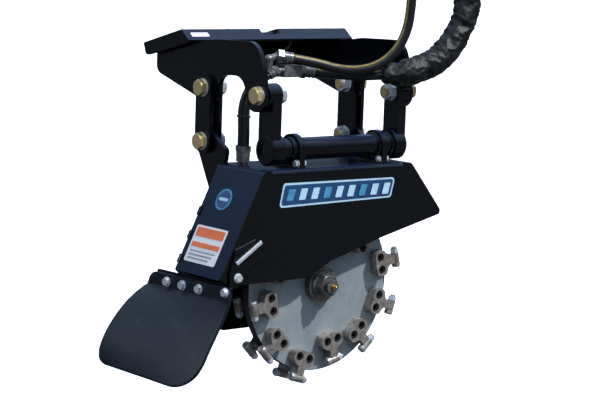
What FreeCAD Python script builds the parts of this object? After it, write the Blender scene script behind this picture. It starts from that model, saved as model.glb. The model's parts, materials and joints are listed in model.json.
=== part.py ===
# Stump grinder head for a compact loader: a mount frame, a four-bar hanging linkage,
# a hood with a chip chute and rubber flap, and a toothed cutter wheel.
# Millimetres, +Z up. X runs along the hook edge of the mount plate, +Y points away from the
# open face of the wheel, and the origin is the middle of the hook edge.
import FreeCAD
import Part
import Sketcher
import math
import os

from FreeCAD import Placement, Rotation, Vector

doc = FreeCAD.newDocument("stump_grinder")
nodes = {}

# ---------------------------------------------------------------- driving dimensions
sizes = doc.addObject("Spreadsheet::Sheet", "sizes")
drivingSizes = {
    "plateLength": 521, "plateDepth": 165, "plateGauge": 8, "plateSlope": 15,
    "lipDepth": 40, "lipSlope": 37, "notchMiddle": 7.5, "notchLength": 57, "notchDepth": 13, "notchReach": 90,
    "latchLength": 64, "latchWidth": 26, "latchSpacing": 300, "latchInset": 32,
    "sideGauge": 10, "sideDepth": 34,
    "linkShift": -6, "cheekFace": 232, "cheekGauge": 12, "cheekFront": 318, "cheekRear": 132,
    "ribGauge": 10, "ribOffset": 60, "crossPlaneY": 92, "crossGauge": 8, "crossFoot": 105,
    "rearPivotY": -83, "rearPivotZ": -135, "frontPivotY": -286, "frontPivotZ": -138,
    "linkDrop": 130, "pinRadius": 12, "pinPlay": 0.05, "openPivotPlay": 0.7,
    "headAcross": 36, "headHeight": 15, "nutHeight": 19, "washerGauge": 2, "washerRadius": 22,
    "rearBarGauge": 10, "rearBarWidth": 60, "rearBarGap": 2.5,
    "frontBarGauge": 26, "frontBarWidth": 54, "frontBarFace": 209,
    "bossLength": 38, "bossFace": 219.5, "bossRadius": 28.5, "collarRadius": 37.5, "collarFace": 210,
    "bushWall": 4, "tubeRadius": 27, "tubeWall": 6, "tubeCapRecess": 3,
    "earOffset": 130, "earGauge": 16, "earRadius": 37, "earBushWall": 3.5,
    "hoodFront": -330, "hoodRear": -150, "hoodTop": -311, "hoodGauge": 6, "hoodRoll": 12,
    "roofLeft": -225, "roofRight": 190, "noseTop": 213, "noseX": 316, "noseZ": -434,
    "chuteTop": -247, "chuteX": -369, "chuteZ": -560, "carrierGauge": 6,
    "flapGauge": 10, "flapWidth": 292, "flapBoltPitch": 65, "flapBoltRadius": 6,
    "hingeX": -366, "hingeY": -205, "hingeZ": -609, "hingeTurn": 4.34,
    "wheelX": -31, "wheelZ": -602, "discFace": -280, "discGauge": 22, "discRadius": 215,
    "shaftRadius": 25, "shaftRear": -151, "shaftNose": -336, "threadRadius": 17,
    "hubRadius": 43, "hubLength": 18, "rearHubRadius": 68, "rearHubLength": 16,
    "hubNutAcross": 50, "hubNutHeight": 22,
    "holderCount": 12, "holderLead": 12, "holderGauge": 27, "holderBoltPitch": 32,
    "tipReach": 52, "toothPlane": 19,
    "socketRadius": 10, "socketLength": 26, "studRadius": 6.5, "carbideRadius": 10.5,
    "carbideLength": 10, "toothNutAcross": 17, "toothNutHeight": 10,
    "bearingRadius": 45, "bearingGauge": 22, "quillRadius": 60, "quillLength": 80,
    "motorRadius": 54, "motorLength": 112, "motorFlange": 150,
    "hoseRadius": 12, "jumperRadius": 8.5, "sleeveRadius": 33,
    "manifoldX": -86, "manifoldY": -205, "manifoldZ": -89,
    "manifoldLong": 56, "manifoldDeep": 40, "manifoldTall": 28, "bracketGauge": 8,
    "bracketHeight": 26,
}
for row, (alias, value) in enumerate(drivingSizes.items(), start=1):
    sizes.set(f"A{row}", alias)
    sizes.set(f"B{row}", str(value))
    sizes.setAlias(f"B{row}", alias)
doc.recompute()


def size(alias):
    return float(sizes.get(alias))


def bound(expression):
    """Puts the sheet's name before every alias in an expression."""
    words = []
    for word in expression.split():
        words.append(f"sizes.{word}" if word in drivingSizes else word)
    return " ".join(words)


# ---------------------------------------------------------------- shared builders
def roundedEdges(corners):
    """Straight runs and corner arcs through (u, v) or (u, v, radius) corners."""
    points = [(c[0], c[1], c[2] if len(c) > 2 else 0.0) for c in corners]
    joints = []
    for i, (u, v, r) in enumerate(points):
        here = Vector(u, v, 0)
        if not r:
            joints.append((here, None, here))
            continue
        before = Vector(*points[i - 1][:2], 0) - here
        after = Vector(*points[(i + 1) % len(points)][:2], 0) - here
        half = before.getAngle(after) / 2
        before.normalize()
        after.normalize()
        setback = r / math.tan(half)
        toCentre = (before + after).normalize()
        middle = here + toCentre * (r / math.sin(half) - r)
        joints.append((here + before * setback, middle, here + after * setback))
    edges = []
    for i, (start, middle, end) in enumerate(joints):
        if middle is not None:
            edges.append(Part.Arc(start, middle, end))
        following = joints[(i + 1) % len(joints)][0]
        if end.distanceToPoint(following) > 1e-6:
            edges.append(Part.LineSegment(end, following))
    return edges


def planeOf(body, role):
    return next(o for o in body.Origin.OriginFeatures if o.Role == role)


def addSketch(body, name, role, offset, corners=None, circles=()):
    sketch = body.newObject("Sketcher::SketchObject", name)
    sketch.AttachmentSupport = (planeOf(body, role), [""])
    sketch.MapMode = "FlatFace"
    sketch.setExpression("AttachmentOffset.Base.z", bound(offset))
    if corners:
        sketch.addGeometry(roundedEdges(corners), False)
    for u, v, radius in circles:
        sketch.addGeometry(Part.Circle(Vector(u, v, 0), Vector(0, 0, 1), radius), False)
    return sketch


def plate(label, role, offset, gauge, corners, holes=(), placement=None):
    """A flat piece cut from plate: an outline on one of the body's own planes, padded."""
    body = doc.addObject("PartDesign::Body", label)
    body.Label = label
    outline = addSketch(body, label + "Outline", role, offset, corners, holes)
    pad = body.newObject("PartDesign::Pad", label + "Pad")
    pad.Profile = outline
    pad.setExpression("Length", bound(gauge))
    if placement:
        body.Placement = placement
    nodes[label] = body
    return body


def rounds(label, role, offset, length, rings):
    """Turned pieces on one plane: each ring is (u, v, outer radius, bore radius)."""
    body = doc.addObject("PartDesign::Body", label)
    body.Label = label
    circles = []
    for u, v, outer, bore in rings:
        circles.append((u, v, outer))
        if bore:
            circles.append((u, v, bore))
    outline = addSketch(body, label + "Rings", role, offset, circles=circles)
    pad = body.newObject("PartDesign::Pad", label + "Pad")
    pad.Profile = outline
    pad.setExpression("Length", bound(length))
    nodes[label] = body
    return body


def cylinder(name, radius, height, placement):
    part = doc.addObject("Part::Cylinder", name)
    part.setExpression("Radius", bound(radius))
    part.setExpression("Height", bound(height))
    part.Placement = placement
    return part


def hexagon(name, across, height, placement):
    """Six-sided head or nut whose far corners are turned down at thirty degrees."""
    blank = doc.addObject("Part::Prism", name + "Blank")
    blank.Polygon = 6
    blank.setExpression("Circumradius", f"({bound(across)}) / 2 / cos(30)")
    blank.setExpression("Height", bound(height))
    crown = doc.addObject("Part::Cone", name + "Crown")
    crown.setExpression("Radius1", f"({bound(across)}) * 0.485 + ({bound(height)}) / tan(30)")
    crown.setExpression("Radius2", f"({bound(across)}) * 0.485")
    crown.setExpression("Height", bound(height))
    blank.Placement = placement
    crown.Placement = placement
    part = doc.addObject("Part::Common", name)
    part.Base = blank
    part.Tool = crown
    return part


def fused(label, parts, keep=True):
    result = doc.addObject("Part::MultiFuse", label)
    result.Shapes = parts
    result.Label = label
    if keep:
        nodes[label] = result
    return result


def cut(label, base, tool, keep=True):
    result = doc.addObject("Part::Cut", label)
    result.Base = base
    result.Tool = tool
    result.Label = label
    if keep:
        nodes[label] = result
    return result


def shaped(label, shape, keep=True):
    feature = doc.addObject("Part::Feature", label)
    feature.Shape = shape
    feature.Label = label
    if keep:
        nodes[label] = feature
    return feature


def ringSolid(x0, x1, y, z, outer, inner):
    ring = Part.makeCylinder(outer, x1 - x0, Vector(x0, y, z), Vector(1, 0, 0))
    return ring.cut(Part.makeCylinder(inner, x1 - x0, Vector(x0, y, z), Vector(1, 0, 0)))


def alongX(x, y, z, reverse=False):
    return Placement(Vector(x, y, z), Rotation(Vector(0, 1, 0), -90 if reverse else 90))


def alongY(x, y, z, reverse=False):
    return Placement(Vector(x, y, z), Rotation(Vector(1, 0, 0), 90 if reverse else -90))


def bendPath(points):
    """A wire of straight runs with the widest arcs that their lengths allow."""
    route = [Vector(*p) for p in points]
    edges, radii = [], []
    start = route[0]
    for i in range(1, len(route) - 1):
        back, ahead = route[i - 1] - route[i], route[i + 1] - route[i]
        reach = 0.45 * min(back.Length, ahead.Length)
        turn = math.pi - back.getAngle(ahead)
        radius = reach / math.tan(turn / 2)
        back.normalize()
        ahead.normalize()
        bisector = (back + ahead).normalize()
        sagitta = radius / math.cos(turn / 2) - radius
        first, middle, last = route[i] + back * reach, route[i] + bisector * sagitta, route[i] + ahead * reach
        edges.append(Part.LineSegment(start, first).toShape())
        edges.append(Part.Arc(first, middle, last).toShape())
        radii.append(radius)
        start = last
    edges.append(Part.LineSegment(start, route[-1]).toShape())
    return Part.Wire(edges), radii


def hose(label, points, radius, keep=True):
    """A round hose or tube swept along its bends; the volume is compared with area x length."""
    path, radii = bendPath(points)
    direction = (Vector(*points[1]) - Vector(*points[0])).normalize()
    ring = Part.Wire(Part.makeCircle(radius, Vector(*points[0]), direction))
    solid = path.makePipeShell([ring], True, False)
    ratio = solid.Volume / (math.pi * radius ** 2 * path.Length)
    print(f"{label}: length {path.Length:.0f}, tightest bend {min(radii):.0f}, volume ratio {ratio:.4f}")
    return shaped(label, solid, keep)


# ---------------------------------------------------------------- mount frame
def tangent(alias):
    return math.tan(math.radians(size(alias)))


def cosine(alias):
    return math.cos(math.radians(size(alias)))


def sine(alias):
    return math.sin(math.radians(size(alias)))


gauge = size("plateGauge")
innerApexY = gauge * (1 / cosine("lipSlope") - 1 / cosine("plateSlope"))
innerApexY /= tangent("lipSlope") + tangent("plateSlope")
innerApex = (innerApexY, -innerApexY * tangent("plateSlope") - gauge / cosine("plateSlope"))
plateEnd = (size("plateDepth") * cosine("plateSlope"), -size("plateDepth") * sine("plateSlope"))
plateEndUnder = (plateEnd[0] - gauge * sine("plateSlope"), plateEnd[1] - gauge * cosine("plateSlope"))
lipEnd = (-size("lipDepth") * cosine("lipSlope"), -size("lipDepth") * sine("lipSlope"))
lipEndUnder = (lipEnd[0] + gauge * sine("lipSlope"), lipEnd[1] - gauge * cosine("lipSlope"))


def underPlate(y):
    """Height of the mount plate's underside at a distance y behind the hook edge."""
    return -y * tangent("plateSlope") - gauge / cosine("plateSlope")


def mountPlate():
    profile = [(0, 0), plateEnd, plateEndUnder, innerApex, lipEndUnder, lipEnd]
    body = plate("mount_plate", "YZ_Plane", "- plateLength / 2", "plateLength", profile)
    notchLeft = size("notchMiddle") - size("notchLength") / 2
    notchRight = notchLeft + size("notchLength")
    notch = addSketch(body, "hookNotch", "XZ_Plane", "0", [
        (notchLeft, 20), (notchRight, 20),
        (notchRight, -size("notchDepth"), 6), (notchLeft, -size("notchDepth"), 6)])
    slot = body.newObject("PartDesign::Pocket", "hookNotchCut")
    slot.Profile = notch
    slot.Type = "Length"
    slot.setExpression("Length", bound("notchReach"))
    slot.Midplane = True
    halfLatch, halfWidth = size("latchLength") / 2, size("latchWidth") / 2
    latchY = plateEnd[0] - size("latchInset")
    latches = body.newObject("Sketcher::SketchObject", "latchWindows")
    latches.AttachmentSupport = (planeOf(body, "XY_Plane"), [""])
    latches.MapMode = "FlatFace"
    for side in (-1, 1):
        middle = side * size("latchSpacing") / 2
        latches.addGeometry(roundedEdges([
            (middle - halfLatch, latchY - halfWidth, 6), (middle + halfLatch, latchY - halfWidth, 6),
            (middle + halfLatch, latchY + halfWidth, 6), (middle - halfLatch, latchY + halfWidth, 6)]), False)
    windows = body.newObject("PartDesign::Pocket", "latchWindowCut")
    windows.Profile = latches
    windows.Type = "ThroughAll"
    windows.Midplane = True
    doc.recompute()
    return body


mountPlate()

sideRear = plateEndUnder[0] - 1
sideOutline = [
    (sideRear, underPlate(sideRear)), (sideRear - 8, underPlate(sideRear - 8) - size("sideDepth") + 8, 12),
    lipEndUnder, innerApex]
plate("plate_side_left", "YZ_Plane", "- plateLength / 2", "sideGauge", sideOutline)
plate("plate_side_right", "YZ_Plane", "plateLength / 2 - sideGauge", "sideGauge", sideOutline)

frontY, frontZ = size("frontPivotY"), size("frontPivotZ")
rearY, rearZ = size("rearPivotY"), size("rearPivotZ")
drop = size("linkDrop")
pin = size("pinRadius")
bore = pin + size("pinPlay")
cheekRear = size("cheekRear")
cheekOutline = [
    (cheekRear, underPlate(cheekRear)), (cheekRear, -112, 24), (rearY + 24, rearZ - 31, 26),
    (rearY - 37, rearZ - 36, 26), (rearY - 52, -101, 30), (frontY + 66, -97, 40),
    (frontY + 35, frontZ - 39, 24), (-size("cheekFront"), frontZ - 41, 34),
    (-size("cheekFront") + 20, -72, 60), (frontY + 12, -13, 52), (-120, -17, 60),
    lipEndUnder, innerApex]
pinHoles = [(rearY, rearZ, pin), (frontY, frontZ, pin)]
plate("cheek_left", "YZ_Plane", "- cheekFace", "cheekGauge", cheekOutline, pinHoles)
plate("cheek_right", "YZ_Plane", "cheekFace - cheekGauge", "cheekGauge", cheekOutline, pinHoles)

crossY, crossBack = size("crossPlaneY"), size("crossPlaneY") + size("crossGauge")
plate("rear_crossplate", "YZ_Plane", "cheekGauge - cheekFace", "2 * cheekFace - 2 * cheekGauge", [
    (crossY, underPlate(crossY)), (crossBack, underPlate(crossBack)),
    (crossBack, -size("crossFoot")), (crossY, -size("crossFoot"))])
ribOutline = [
    (crossY, underPlate(crossY)), (crossY, -88), (40, -88, 20), (lipEndUnder[0] + 4, -42, 8),
    lipEndUnder, innerApex]
leftRib = plate("leftRib", "YZ_Plane", "- ribOffset - ribGauge / 2", "ribGauge", ribOutline)
rightRib = plate("rightRib", "YZ_Plane", "ribOffset - ribGauge / 2", "ribGauge", ribOutline)
doc.recompute()
del nodes["leftRib"], nodes["rightRib"]
shaped("plate_ribs", Part.makeCompound([leftRib.Shape, rightRib.Shape]))


def pivotBolt(name, x0, y, z, shankEnd, side):
    """Hex bolt whose head bears at x0 outside one side and whose shank runs inwards."""
    outward, inward = side < 0, side > 0
    head = hexagon(name + "Head", "headAcross", "headHeight", alongX(side * x0, y, z, outward))
    shank = cylinder(name + "Shank", "pinRadius", str(x0 - shankEnd), alongX(side * x0, y, z, inward))
    return [head, shank]


def boltPair(name, x0, y, z, shankEnd):
    """Left and right bolts of one pivot, as two separate solids."""
    doc.recompute()
    solids = []
    for side in (-1, 1):
        bolt = fused(f"{name}Side{side + 2}", pivotBolt(f"{name}{side + 2}", x0, y, z, shankEnd, side), False)
        doc.recompute()
        solids.append(bolt.Shape.removeSplitter())
    return solids


def nutPair(name, face, y, z):
    """Left and right nuts of one pivot, as two separate solids."""
    solids = []
    for side in (-1, 1):
        inward = side > 0
        nut = hexagon(f"{name}Hex{side + 2}", "headAcross", "nutHeight", alongX(side * face, y, z, inward))
        hole = cylinder(f"{name}Hole{side + 2}", "pinRadius", "nutHeight", alongX(side * face, y, z, inward))
        ring = cut(f"{name}Ring{side + 2}", nut, hole, False)
        doc.recompute()
        solids.append(ring.Shape)
    return solids


def washerSolids(faces):
    """Flat washers: (inner face x, y, z, side) with the washer lying outwards of that face."""
    solids = []
    for face, y, z, side in faces:
        foot, outward = Vector(side * face, y, z), Vector(side, 0, 0)
        disc = Part.makeCylinder(size("washerRadius"), size("washerGauge"), foot, outward)
        hole = Part.makeCylinder(bore, size("washerGauge"), foot, outward)
        solids.append(disc.cut(hole))
    return solids


play = 0.5
washer = size("washerGauge")
cheekFace = size("cheekFace")
barOuter = cheekFace + size("rearBarGap") + size("rearBarGauge")
barInner = cheekFace - size("cheekGauge") - size("rearBarGap") - size("rearBarGauge")
rearHeadFace = barOuter + play + washer
rearNutFace = barInner - play - washer
frontNutFace = size("bossFace") - size("bossLength") - play - washer
topBolts = boltPair("rearTop", rearHeadFace, rearY, rearZ, rearNutFace - size("nutHeight") - 5)
topBolts += boltPair("frontTop", cheekFace + washer, frontY, frontZ, frontNutFace - size("nutHeight") - 5)
shaped("top_pivot_bolts", Part.makeCompound(topBolts))
topNuts = nutPair("rearTopNut", rearNutFace, rearY, rearZ) + nutPair("frontTopNut", frontNutFace, frontY, frontZ)
shaped("top_pivot_nuts", Part.makeCompound(topNuts))
washerFaces = []
for side in (-1, 1):
    washerFaces.append((barOuter + play, rearY, rearZ, side))
    washerFaces.append((rearNutFace, rearY, rearZ, side))
    washerFaces.append((cheekFace, frontY, frontZ, side))
    washerFaces.append((frontNutFace, frontY, frontZ, side))
    washerFaces.append((cheekFace, rearY, rearZ, side))
    washerFaces.append((cheekFace - size("cheekGauge") - washer, rearY, rearZ, side))
shaped("pivot_washers", Part.makeCompound(washerSolids(washerFaces)))

# ---------------------------------------------------------------- hydraulics on the frame
manifoldX, manifoldY, manifoldZ = size("manifoldX"), size("manifoldY"), size("manifoldZ")
manifoldFoot = manifoldZ - size("manifoldTall") / 2
bracketLeft = size("linkShift") - cheekFace + size("cheekGauge")


def box(label, x0, y0, z0, length, width, height, keep=True):
    block = doc.addObject("Part::Box", label)
    block.Label = label
    block.setExpression("Length", bound(length))
    block.setExpression("Width", bound(width))
    block.setExpression("Height", bound(height))
    block.Placement = Placement(Vector(x0, y0, z0), Rotation())
    if keep:
        nodes[label] = block
    return block


bracketRight = manifoldX + size("manifoldLong") / 2
bracketY = manifoldY + size("manifoldDeep") / 2
strip = box("bracketBlank", bracketLeft, bracketY, manifoldZ + 5, str(bracketRight - bracketLeft), "bracketGauge",
            "bracketHeight", False)
relief = box("bracketRelief", manifoldX - 80, bracketY, manifoldZ + 5, "54", "bracketGauge", "bracketHeight - 11", False)
cut("manifold_bracket", strip, relief)
manifoldBody = box("manifoldBlank", manifoldX - size("manifoldLong") / 2, manifoldY - size("manifoldDeep") / 2,
                   manifoldFoot, "manifoldLong", "manifoldDeep", "manifoldTall", False)
softened = doc.addObject("Part::Chamfer", "manifold_block")
softened.Base = manifoldBody
softened.Edges = [(i, 1.5, 1.5) for i in range(1, 13)]
nodes["manifold_block"] = softened



def ferrule(end, direction, radius, length=24, nutLength=14):
    """Crimped hose end running up to a point: a nut, then a socket with a swaged groove."""
    along = Vector(*direction).normalize()
    socketBase = Vector(*end) - along * length
    nutBase = socketBase - along * nutLength
    socket = Part.makeCylinder(radius + 2.5, length, socketBase, along)
    band = Part.makeCylinder(radius + 4, 3, socketBase + along * (length * 0.55), along)
    band = band.cut(Part.makeCylinder(radius + 1.3, 3, socketBase + along * (length * 0.55), along))
    corner = (radius + 3.5) / math.cos(math.radians(30))
    outline = Part.makePolygon([Vector(corner * math.cos(math.radians(a)), corner * math.sin(math.radians(a)), 0)
                                for a in range(0, 361, 60)])
    nut = Part.Face(outline).extrude(Vector(0, 0, nutLength))
    nut.Placement = Placement(nutBase, Rotation(Vector(0, 0, 1), along))
    return socket.cut(band).fuse(nut), nutBase


hoseRadius, jumperRadius = size("hoseRadius"), size("jumperRadius")
blockLeft = manifoldX - size("manifoldLong") / 2
blockRight = manifoldX + size("manifoldLong") / 2
routeA = [(-89, -220, -58), (-38, -242, -66), (23, -279, -85), (73, -315, -80), (114, -341, -54),
          (148, -355, -7), (164, -360, 57), (164, -360, 130)]
routeB = [(-12, -217, -93), (60, -275, -99), (130, -335, -92), (215, -354, -80), (290, -358, -38),
          (338, -358, 28), (358, -358, 100), (358, -358, 180)]
hose("hose_a", routeA, hoseRadius)
hose("hose_b", routeB, hoseRadius)

ferruleA, baseA = ferrule(routeA[0], (51, -22, -8), hoseRadius)
elbowA = Part.makeCylinder(11, 38, Vector(-142, -197, -98), Vector(0, 0, 1))
elbowA = elbowA.fuse(Part.makeCylinder(9, (baseA - Vector(-142, -197, -60)).Length + 1, Vector(-142, -197, -60),
                                       baseA - Vector(-142, -197, -60)))
elbowA = elbowA.fuse(Part.makeSphere(11, Vector(-142, -197, -60)))
elbowA = elbowA.fuse(Part.makeCylinder(8, blockLeft + 142, Vector(-142, -197, -89), Vector(1, 0, 0)))
ferruleB, baseB = ferrule(routeB[0], (72, -58, -6), hoseRadius)
portB = Vector(blockRight, baseB.y + 3, baseB.z)
adapterB = Part.makeCylinder(8, (baseB - portB).Length + 2, portB, baseB - portB)
adapterB = adapterB.cut(Part.makeBox(40, 80, 80, Vector(blockRight - 40, portB.y - 40, portB.z - 40)))
frameEnds = [ferruleA.fuse(elbowA), ferruleB.fuse(adapterB)]


def sleeve():
    """Woven sleeve: a thin tube around the second hose, gathered onto it at both ends."""
    whole, radii = bendPath(routeB)
    bend = whole.Edges[3]
    middle = (bend.FirstParameter + bend.LastParameter) / 2
    threeQuarters = (middle + bend.LastParameter) / 2
    start, end = bend.valueAt(middle), Vector(358, -358, 164)
    edges = [Part.Arc(start, bend.valueAt(threeQuarters), bend.valueAt(bend.LastParameter)).toShape()]
    edges += whole.Edges[4:-1]
    edges.append(Part.LineSegment(whole.Edges[-1].valueAt(whole.Edges[-1].FirstParameter), end).toShape())
    path = Part.Wire(edges)
    first = bend.tangentAt(middle)

    def swept(radius):
        ring = Part.Wire(Part.makeCircle(radius, start, first))
        return path.makePipeShell([ring], True, False)

    outer = swept(size("sleeveRadius"))
    hollow = swept(size("sleeveRadius") - 3)
    for point, inward in ((start, first), (end, Vector(0, 0, -1))):
        hollow = hollow.cut(Part.makeCylinder(60, 40, point - inward * 32, inward))
    print(f"sleeve: length {path.Length:.0f}, tightest bend {min(radii[1:]):.0f}")
    return outer.cut(hollow).cut(swept(hoseRadius))


shaped("hose_sleeve", sleeve())


def coupler(base, radius):
    """Flat-faced quick coupler on the machine end of a hose."""
    x, y, z = base
    body = Part.makeCylinder(radius + 3, 22, Vector(x, y, z), Vector(0, 0, 1))
    body = body.fuse(Part.makeCone(radius + 3, radius + 8, 6, Vector(x, y, z + 22), Vector(0, 0, 1)))
    body = body.fuse(Part.makeCylinder(radius + 8, 34, Vector(x, y, z + 28), Vector(0, 0, 1)))
    body = body.cut(ringSolid(0, 4, 0, 0, radius + 9, radius + 5).transformed(
        Placement(Vector(x, y, z + 50), Rotation(Vector(0, 1, 0), -90)).toMatrix(), True))
    return body.removeSplitter()


shaped("hose_couplers", Part.makeCompound([coupler(end, hoseRadius) for end in (routeA[-1], routeB[-1])]))

roofTop = size("hoodTop")
jumperFoot = roofTop + 24 + 14 + 6
jumpers = {"jumper_hose_pressure": 0, "jumper_hose_return": 19}
jumperEnds = []
for label, shift in jumpers.items():
    route = [(blockLeft - 38, -214 + shift * 1.16, -98), (-188, -206 + shift, -118), (-206, -196 + shift, -170),
             (-206, -200 + shift, -225), (-206, -200 + shift, jumperFoot)]
    hose(label, route, jumperRadius)
    top, topBase = ferrule(route[0], Vector(*route[1]) - Vector(*route[0]), jumperRadius, 16, 10)
    foot, footBase = ferrule(route[-1], (0, 0, 1), jumperRadius, 24, 14)
    jumperEnds.append((top, topBase, foot, footBase))
roofEnds = []
for top, topBase, foot, footBase in jumperEnds:
    port = Part.makeCylinder(6, topBase.x - blockLeft + 0.0 if topBase.x > blockLeft else blockLeft - topBase.x + 2,
                             Vector(blockLeft, topBase.y, topBase.z), Vector(-1, 0, 0))
    frameEnds.append(top.fuse(port))
    stem = Part.makeCylinder(7, 6, Vector(footBase.x, footBase.y, roofTop), Vector(0, 0, 1))
    flipped = foot.mirror(Vector(footBase.x, footBase.y, roofTop + 6 + 19), Vector(0, 0, 1))
    roofEnds.append(stem.fuse(flipped))
shaped("manifold_fittings", Part.makeCompound(frameEnds))
shaped("jumper_roof_fittings", Part.makeCompound(roofEnds))

# ---------------------------------------------------------------- front links and torsion tube
tubeY, tubeZ = frontY, frontZ - drop
bushOuter = pin + size("bushWall")
barFace, bossFace = size("frontBarFace"), size("bossFace")
collarFace = size("collarFace")


def frontLink(label, side):
    inward = side > 0
    boss = cylinder(label + "Boss", "bossRadius", "bossLength", alongX(side * bossFace, frontY, frontZ, inward))
    collar = cylinder(label + "Collar", "collarRadius", "34", alongX(side * (collarFace - 4), tubeY, tubeZ, inward))
    rim = doc.addObject("Part::Cone", label + "Rim")
    rim.setExpression("Radius1", bound("collarRadius"))
    rim.setExpression("Radius2", bound("collarRadius - 4"))
    rim.Height = 4
    rim.Placement = alongX(side * (collarFace - 4), tubeY, tubeZ, not inward)
    bar = doc.addObject("Part::Box", label + "Bar")
    bar.setExpression("Length", bound("frontBarGauge"))
    bar.setExpression("Width", bound("frontBarWidth"))
    bar.setExpression("Height", bound("linkDrop"))
    left = barFace - size("frontBarGauge") if side > 0 else -barFace
    bar.Placement = Placement(Vector(left, frontY - size("frontBarWidth") / 2, tubeZ), Rotation())
    solid = fused(label + "Weldment", [boss, collar, rim, bar], False)
    upper = cylinder(label + "BossBore", str(bushOuter), "60", alongX(side * (bossFace + 5), frontY, frontZ, inward))
    lower = cylinder(label + "CollarBore", "tubeRadius", "60", alongX(side * (collarFace + 5), tubeY, tubeZ, inward))
    bores = fused(label + "Bores", [upper, lower], False)
    return cut(label, solid, bores)


frontLink("front_link_left", -1)
frontLink("front_link_right", 1)


def mirroredRings(label, x0, x1, y, z, outer, inner):
    solids = [ringSolid(-x1, -x0, y, z, outer, inner), ringSolid(x0, x1, y, z, outer, inner)]
    return shaped(label, Part.makeCompound(solids))


mirroredRings("front_bushes", bossFace - size("bossLength"), bossFace, frontY, frontZ, bushOuter, bore)
tubeEnd = collarFace - 3
rounds("torsion_tube", "YZ_Plane", str(-tubeEnd), str(2 * tubeEnd),
       [(tubeY, tubeZ, size("tubeRadius"), size("tubeRadius") - size("tubeWall"))])
capInner = size("tubeRadius") - size("tubeWall")
caps = [Part.makeCylinder(capInner, 6, Vector(side * (tubeEnd - size("tubeCapRecess")), tubeY, tubeZ), Vector(-side, 0, 0))
        for side in (-1, 1)]
shaped("tube_end_caps", Part.makeCompound(caps))
earFace = size("earOffset") + size("earGauge") / 2
mirroredRings("tube_collars", earFace + 1, earFace + 13, tubeY, tubeZ, 30.5, size("tubeRadius"))

# ---------------------------------------------------------------- rear links
rearWidth = size("rearBarWidth") / 2
linkOutline = [(rearY - rearWidth, rearZ - drop - rearWidth, rearWidth - 0.01),
               (rearY + rearWidth, rearZ - drop - rearWidth, rearWidth - 0.01),
               (rearY + rearWidth, rearZ + rearWidth, rearWidth - 0.01),
               (rearY - rearWidth, rearZ + rearWidth, rearWidth - 0.01)]
linkHoles = [(rearY, rearZ, bore), (rearY, rearZ - drop, pin)]
outerFace = cheekFace + size("rearBarGap")
plate("rear_link_outer_left", "YZ_Plane", str(-barOuter), "rearBarGauge", linkOutline, linkHoles)
plate("rear_link_outer_right", "YZ_Plane", str(outerFace), "rearBarGauge", linkOutline, linkHoles)
plate("rear_link_inner_left", "YZ_Plane", str(-barInner - size("rearBarGauge")), "rearBarGauge", linkOutline, linkHoles)
plate("rear_link_inner_right", "YZ_Plane", str(barInner), "rearBarGauge", linkOutline, linkHoles)
lowerZ = rearZ - drop
shaped("rear_lower_bolts", Part.makeCompound(
    boltPair("rearLower", barOuter + washer, rearY, lowerZ, barInner - washer - size("nutHeight") - 5)))
lowerNuts = nutPair("rearLowerNut", barInner - washer, rearY, lowerZ)
lowerWashers = []
for side in (-1, 1):
    lowerWashers.append((barOuter, rearY, lowerZ, side))
    lowerWashers.append((barInner - washer, rearY, lowerZ, side))
shaped("rear_lower_nuts", Part.makeCompound(lowerNuts + washerSolids(lowerWashers)))

# ---------------------------------------------------------------- hood
hoodFront, hoodRear, sheetGauge = size("hoodFront"), size("hoodRear"), size("hoodGauge")
noseTop, noseX, noseZ = size("noseTop"), size("noseX"), size("noseZ")
chuteTop, chuteX, chuteZ = size("chuteTop"), size("chuteX"), size("chuteZ")
roofLeft, roofRight = size("roofLeft"), size("roofRight")


def inset(start, end, distance):
    """A line moved to its right-hand side by a distance."""
    run = Vector(end[0] - start[0], end[1] - start[1], 0).normalize()
    shift = Vector(run.y, -run.x, 0) * distance
    return (start[0] + shift.x, start[1] + shift.y), (end[0] + shift.x, end[1] + shift.y)


def reachHeight(start, end, height):
    """The u of a line where its v equals a height."""
    share = (height - start[1]) / (end[1] - start[1])
    return start[0] + share * (end[0] - start[0])


roofUnder = roofTop - sheetGauge
plate("roof_plate", "YZ_Plane", "roofLeft", "roofRight - roofLeft", [
    (hoodRear - sheetGauge, roofTop), (hoodFront, roofTop, 12), (hoodFront, roofTop - 14),
    (hoodFront + sheetGauge, roofTop - 14), (hoodFront + sheetGauge, roofUnder, 6), (hoodRear - sheetGauge, roofUnder)])
chuteIn = inset((chuteX, chuteZ), (chuteTop, roofTop), sheetGauge)
plate("chute_plate", "XZ_Plane", "hoodGauge - hoodRear", "hoodRear - hoodFront - 2 * hoodGauge", [
    (roofLeft, roofTop), (chuteTop, roofTop, 14), (chuteX, chuteZ), chuteIn[0],
    (reachHeight(*chuteIn, roofUnder), roofUnder, 8), (roofLeft, roofUnder)])
noseIn = inset((noseTop, roofTop), (noseX, noseZ), sheetGauge)
plate("nose_plate", "XZ_Plane", "hoodGauge - hoodRear", "hoodRear - hoodFront - 2 * hoodGauge", [
    (roofRight, roofTop), (noseTop, roofTop, 14), (noseX, noseZ), noseIn[1],
    (reachHeight(*noseIn, roofUnder), roofUnder, 8), (roofRight, roofUnder)])
plate("front_side_plate", "XZ_Plane", "- hoodFront - hoodGauge", "hoodGauge", [
    (roofLeft, roofTop - 14), (roofLeft, roofTop), (chuteTop, roofTop, 14), (chuteX, chuteZ, 6),
    (-336, -574.6, 8), (-121, -574.6, 20), (-94, -569, 60), (-36, -539), (125, -492), (315, -446, 5),
    (noseX, noseZ), (noseTop, roofTop, 14), (roofRight, roofTop), (roofRight, roofTop - 14)], [(-322, -556, 5)])
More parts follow.
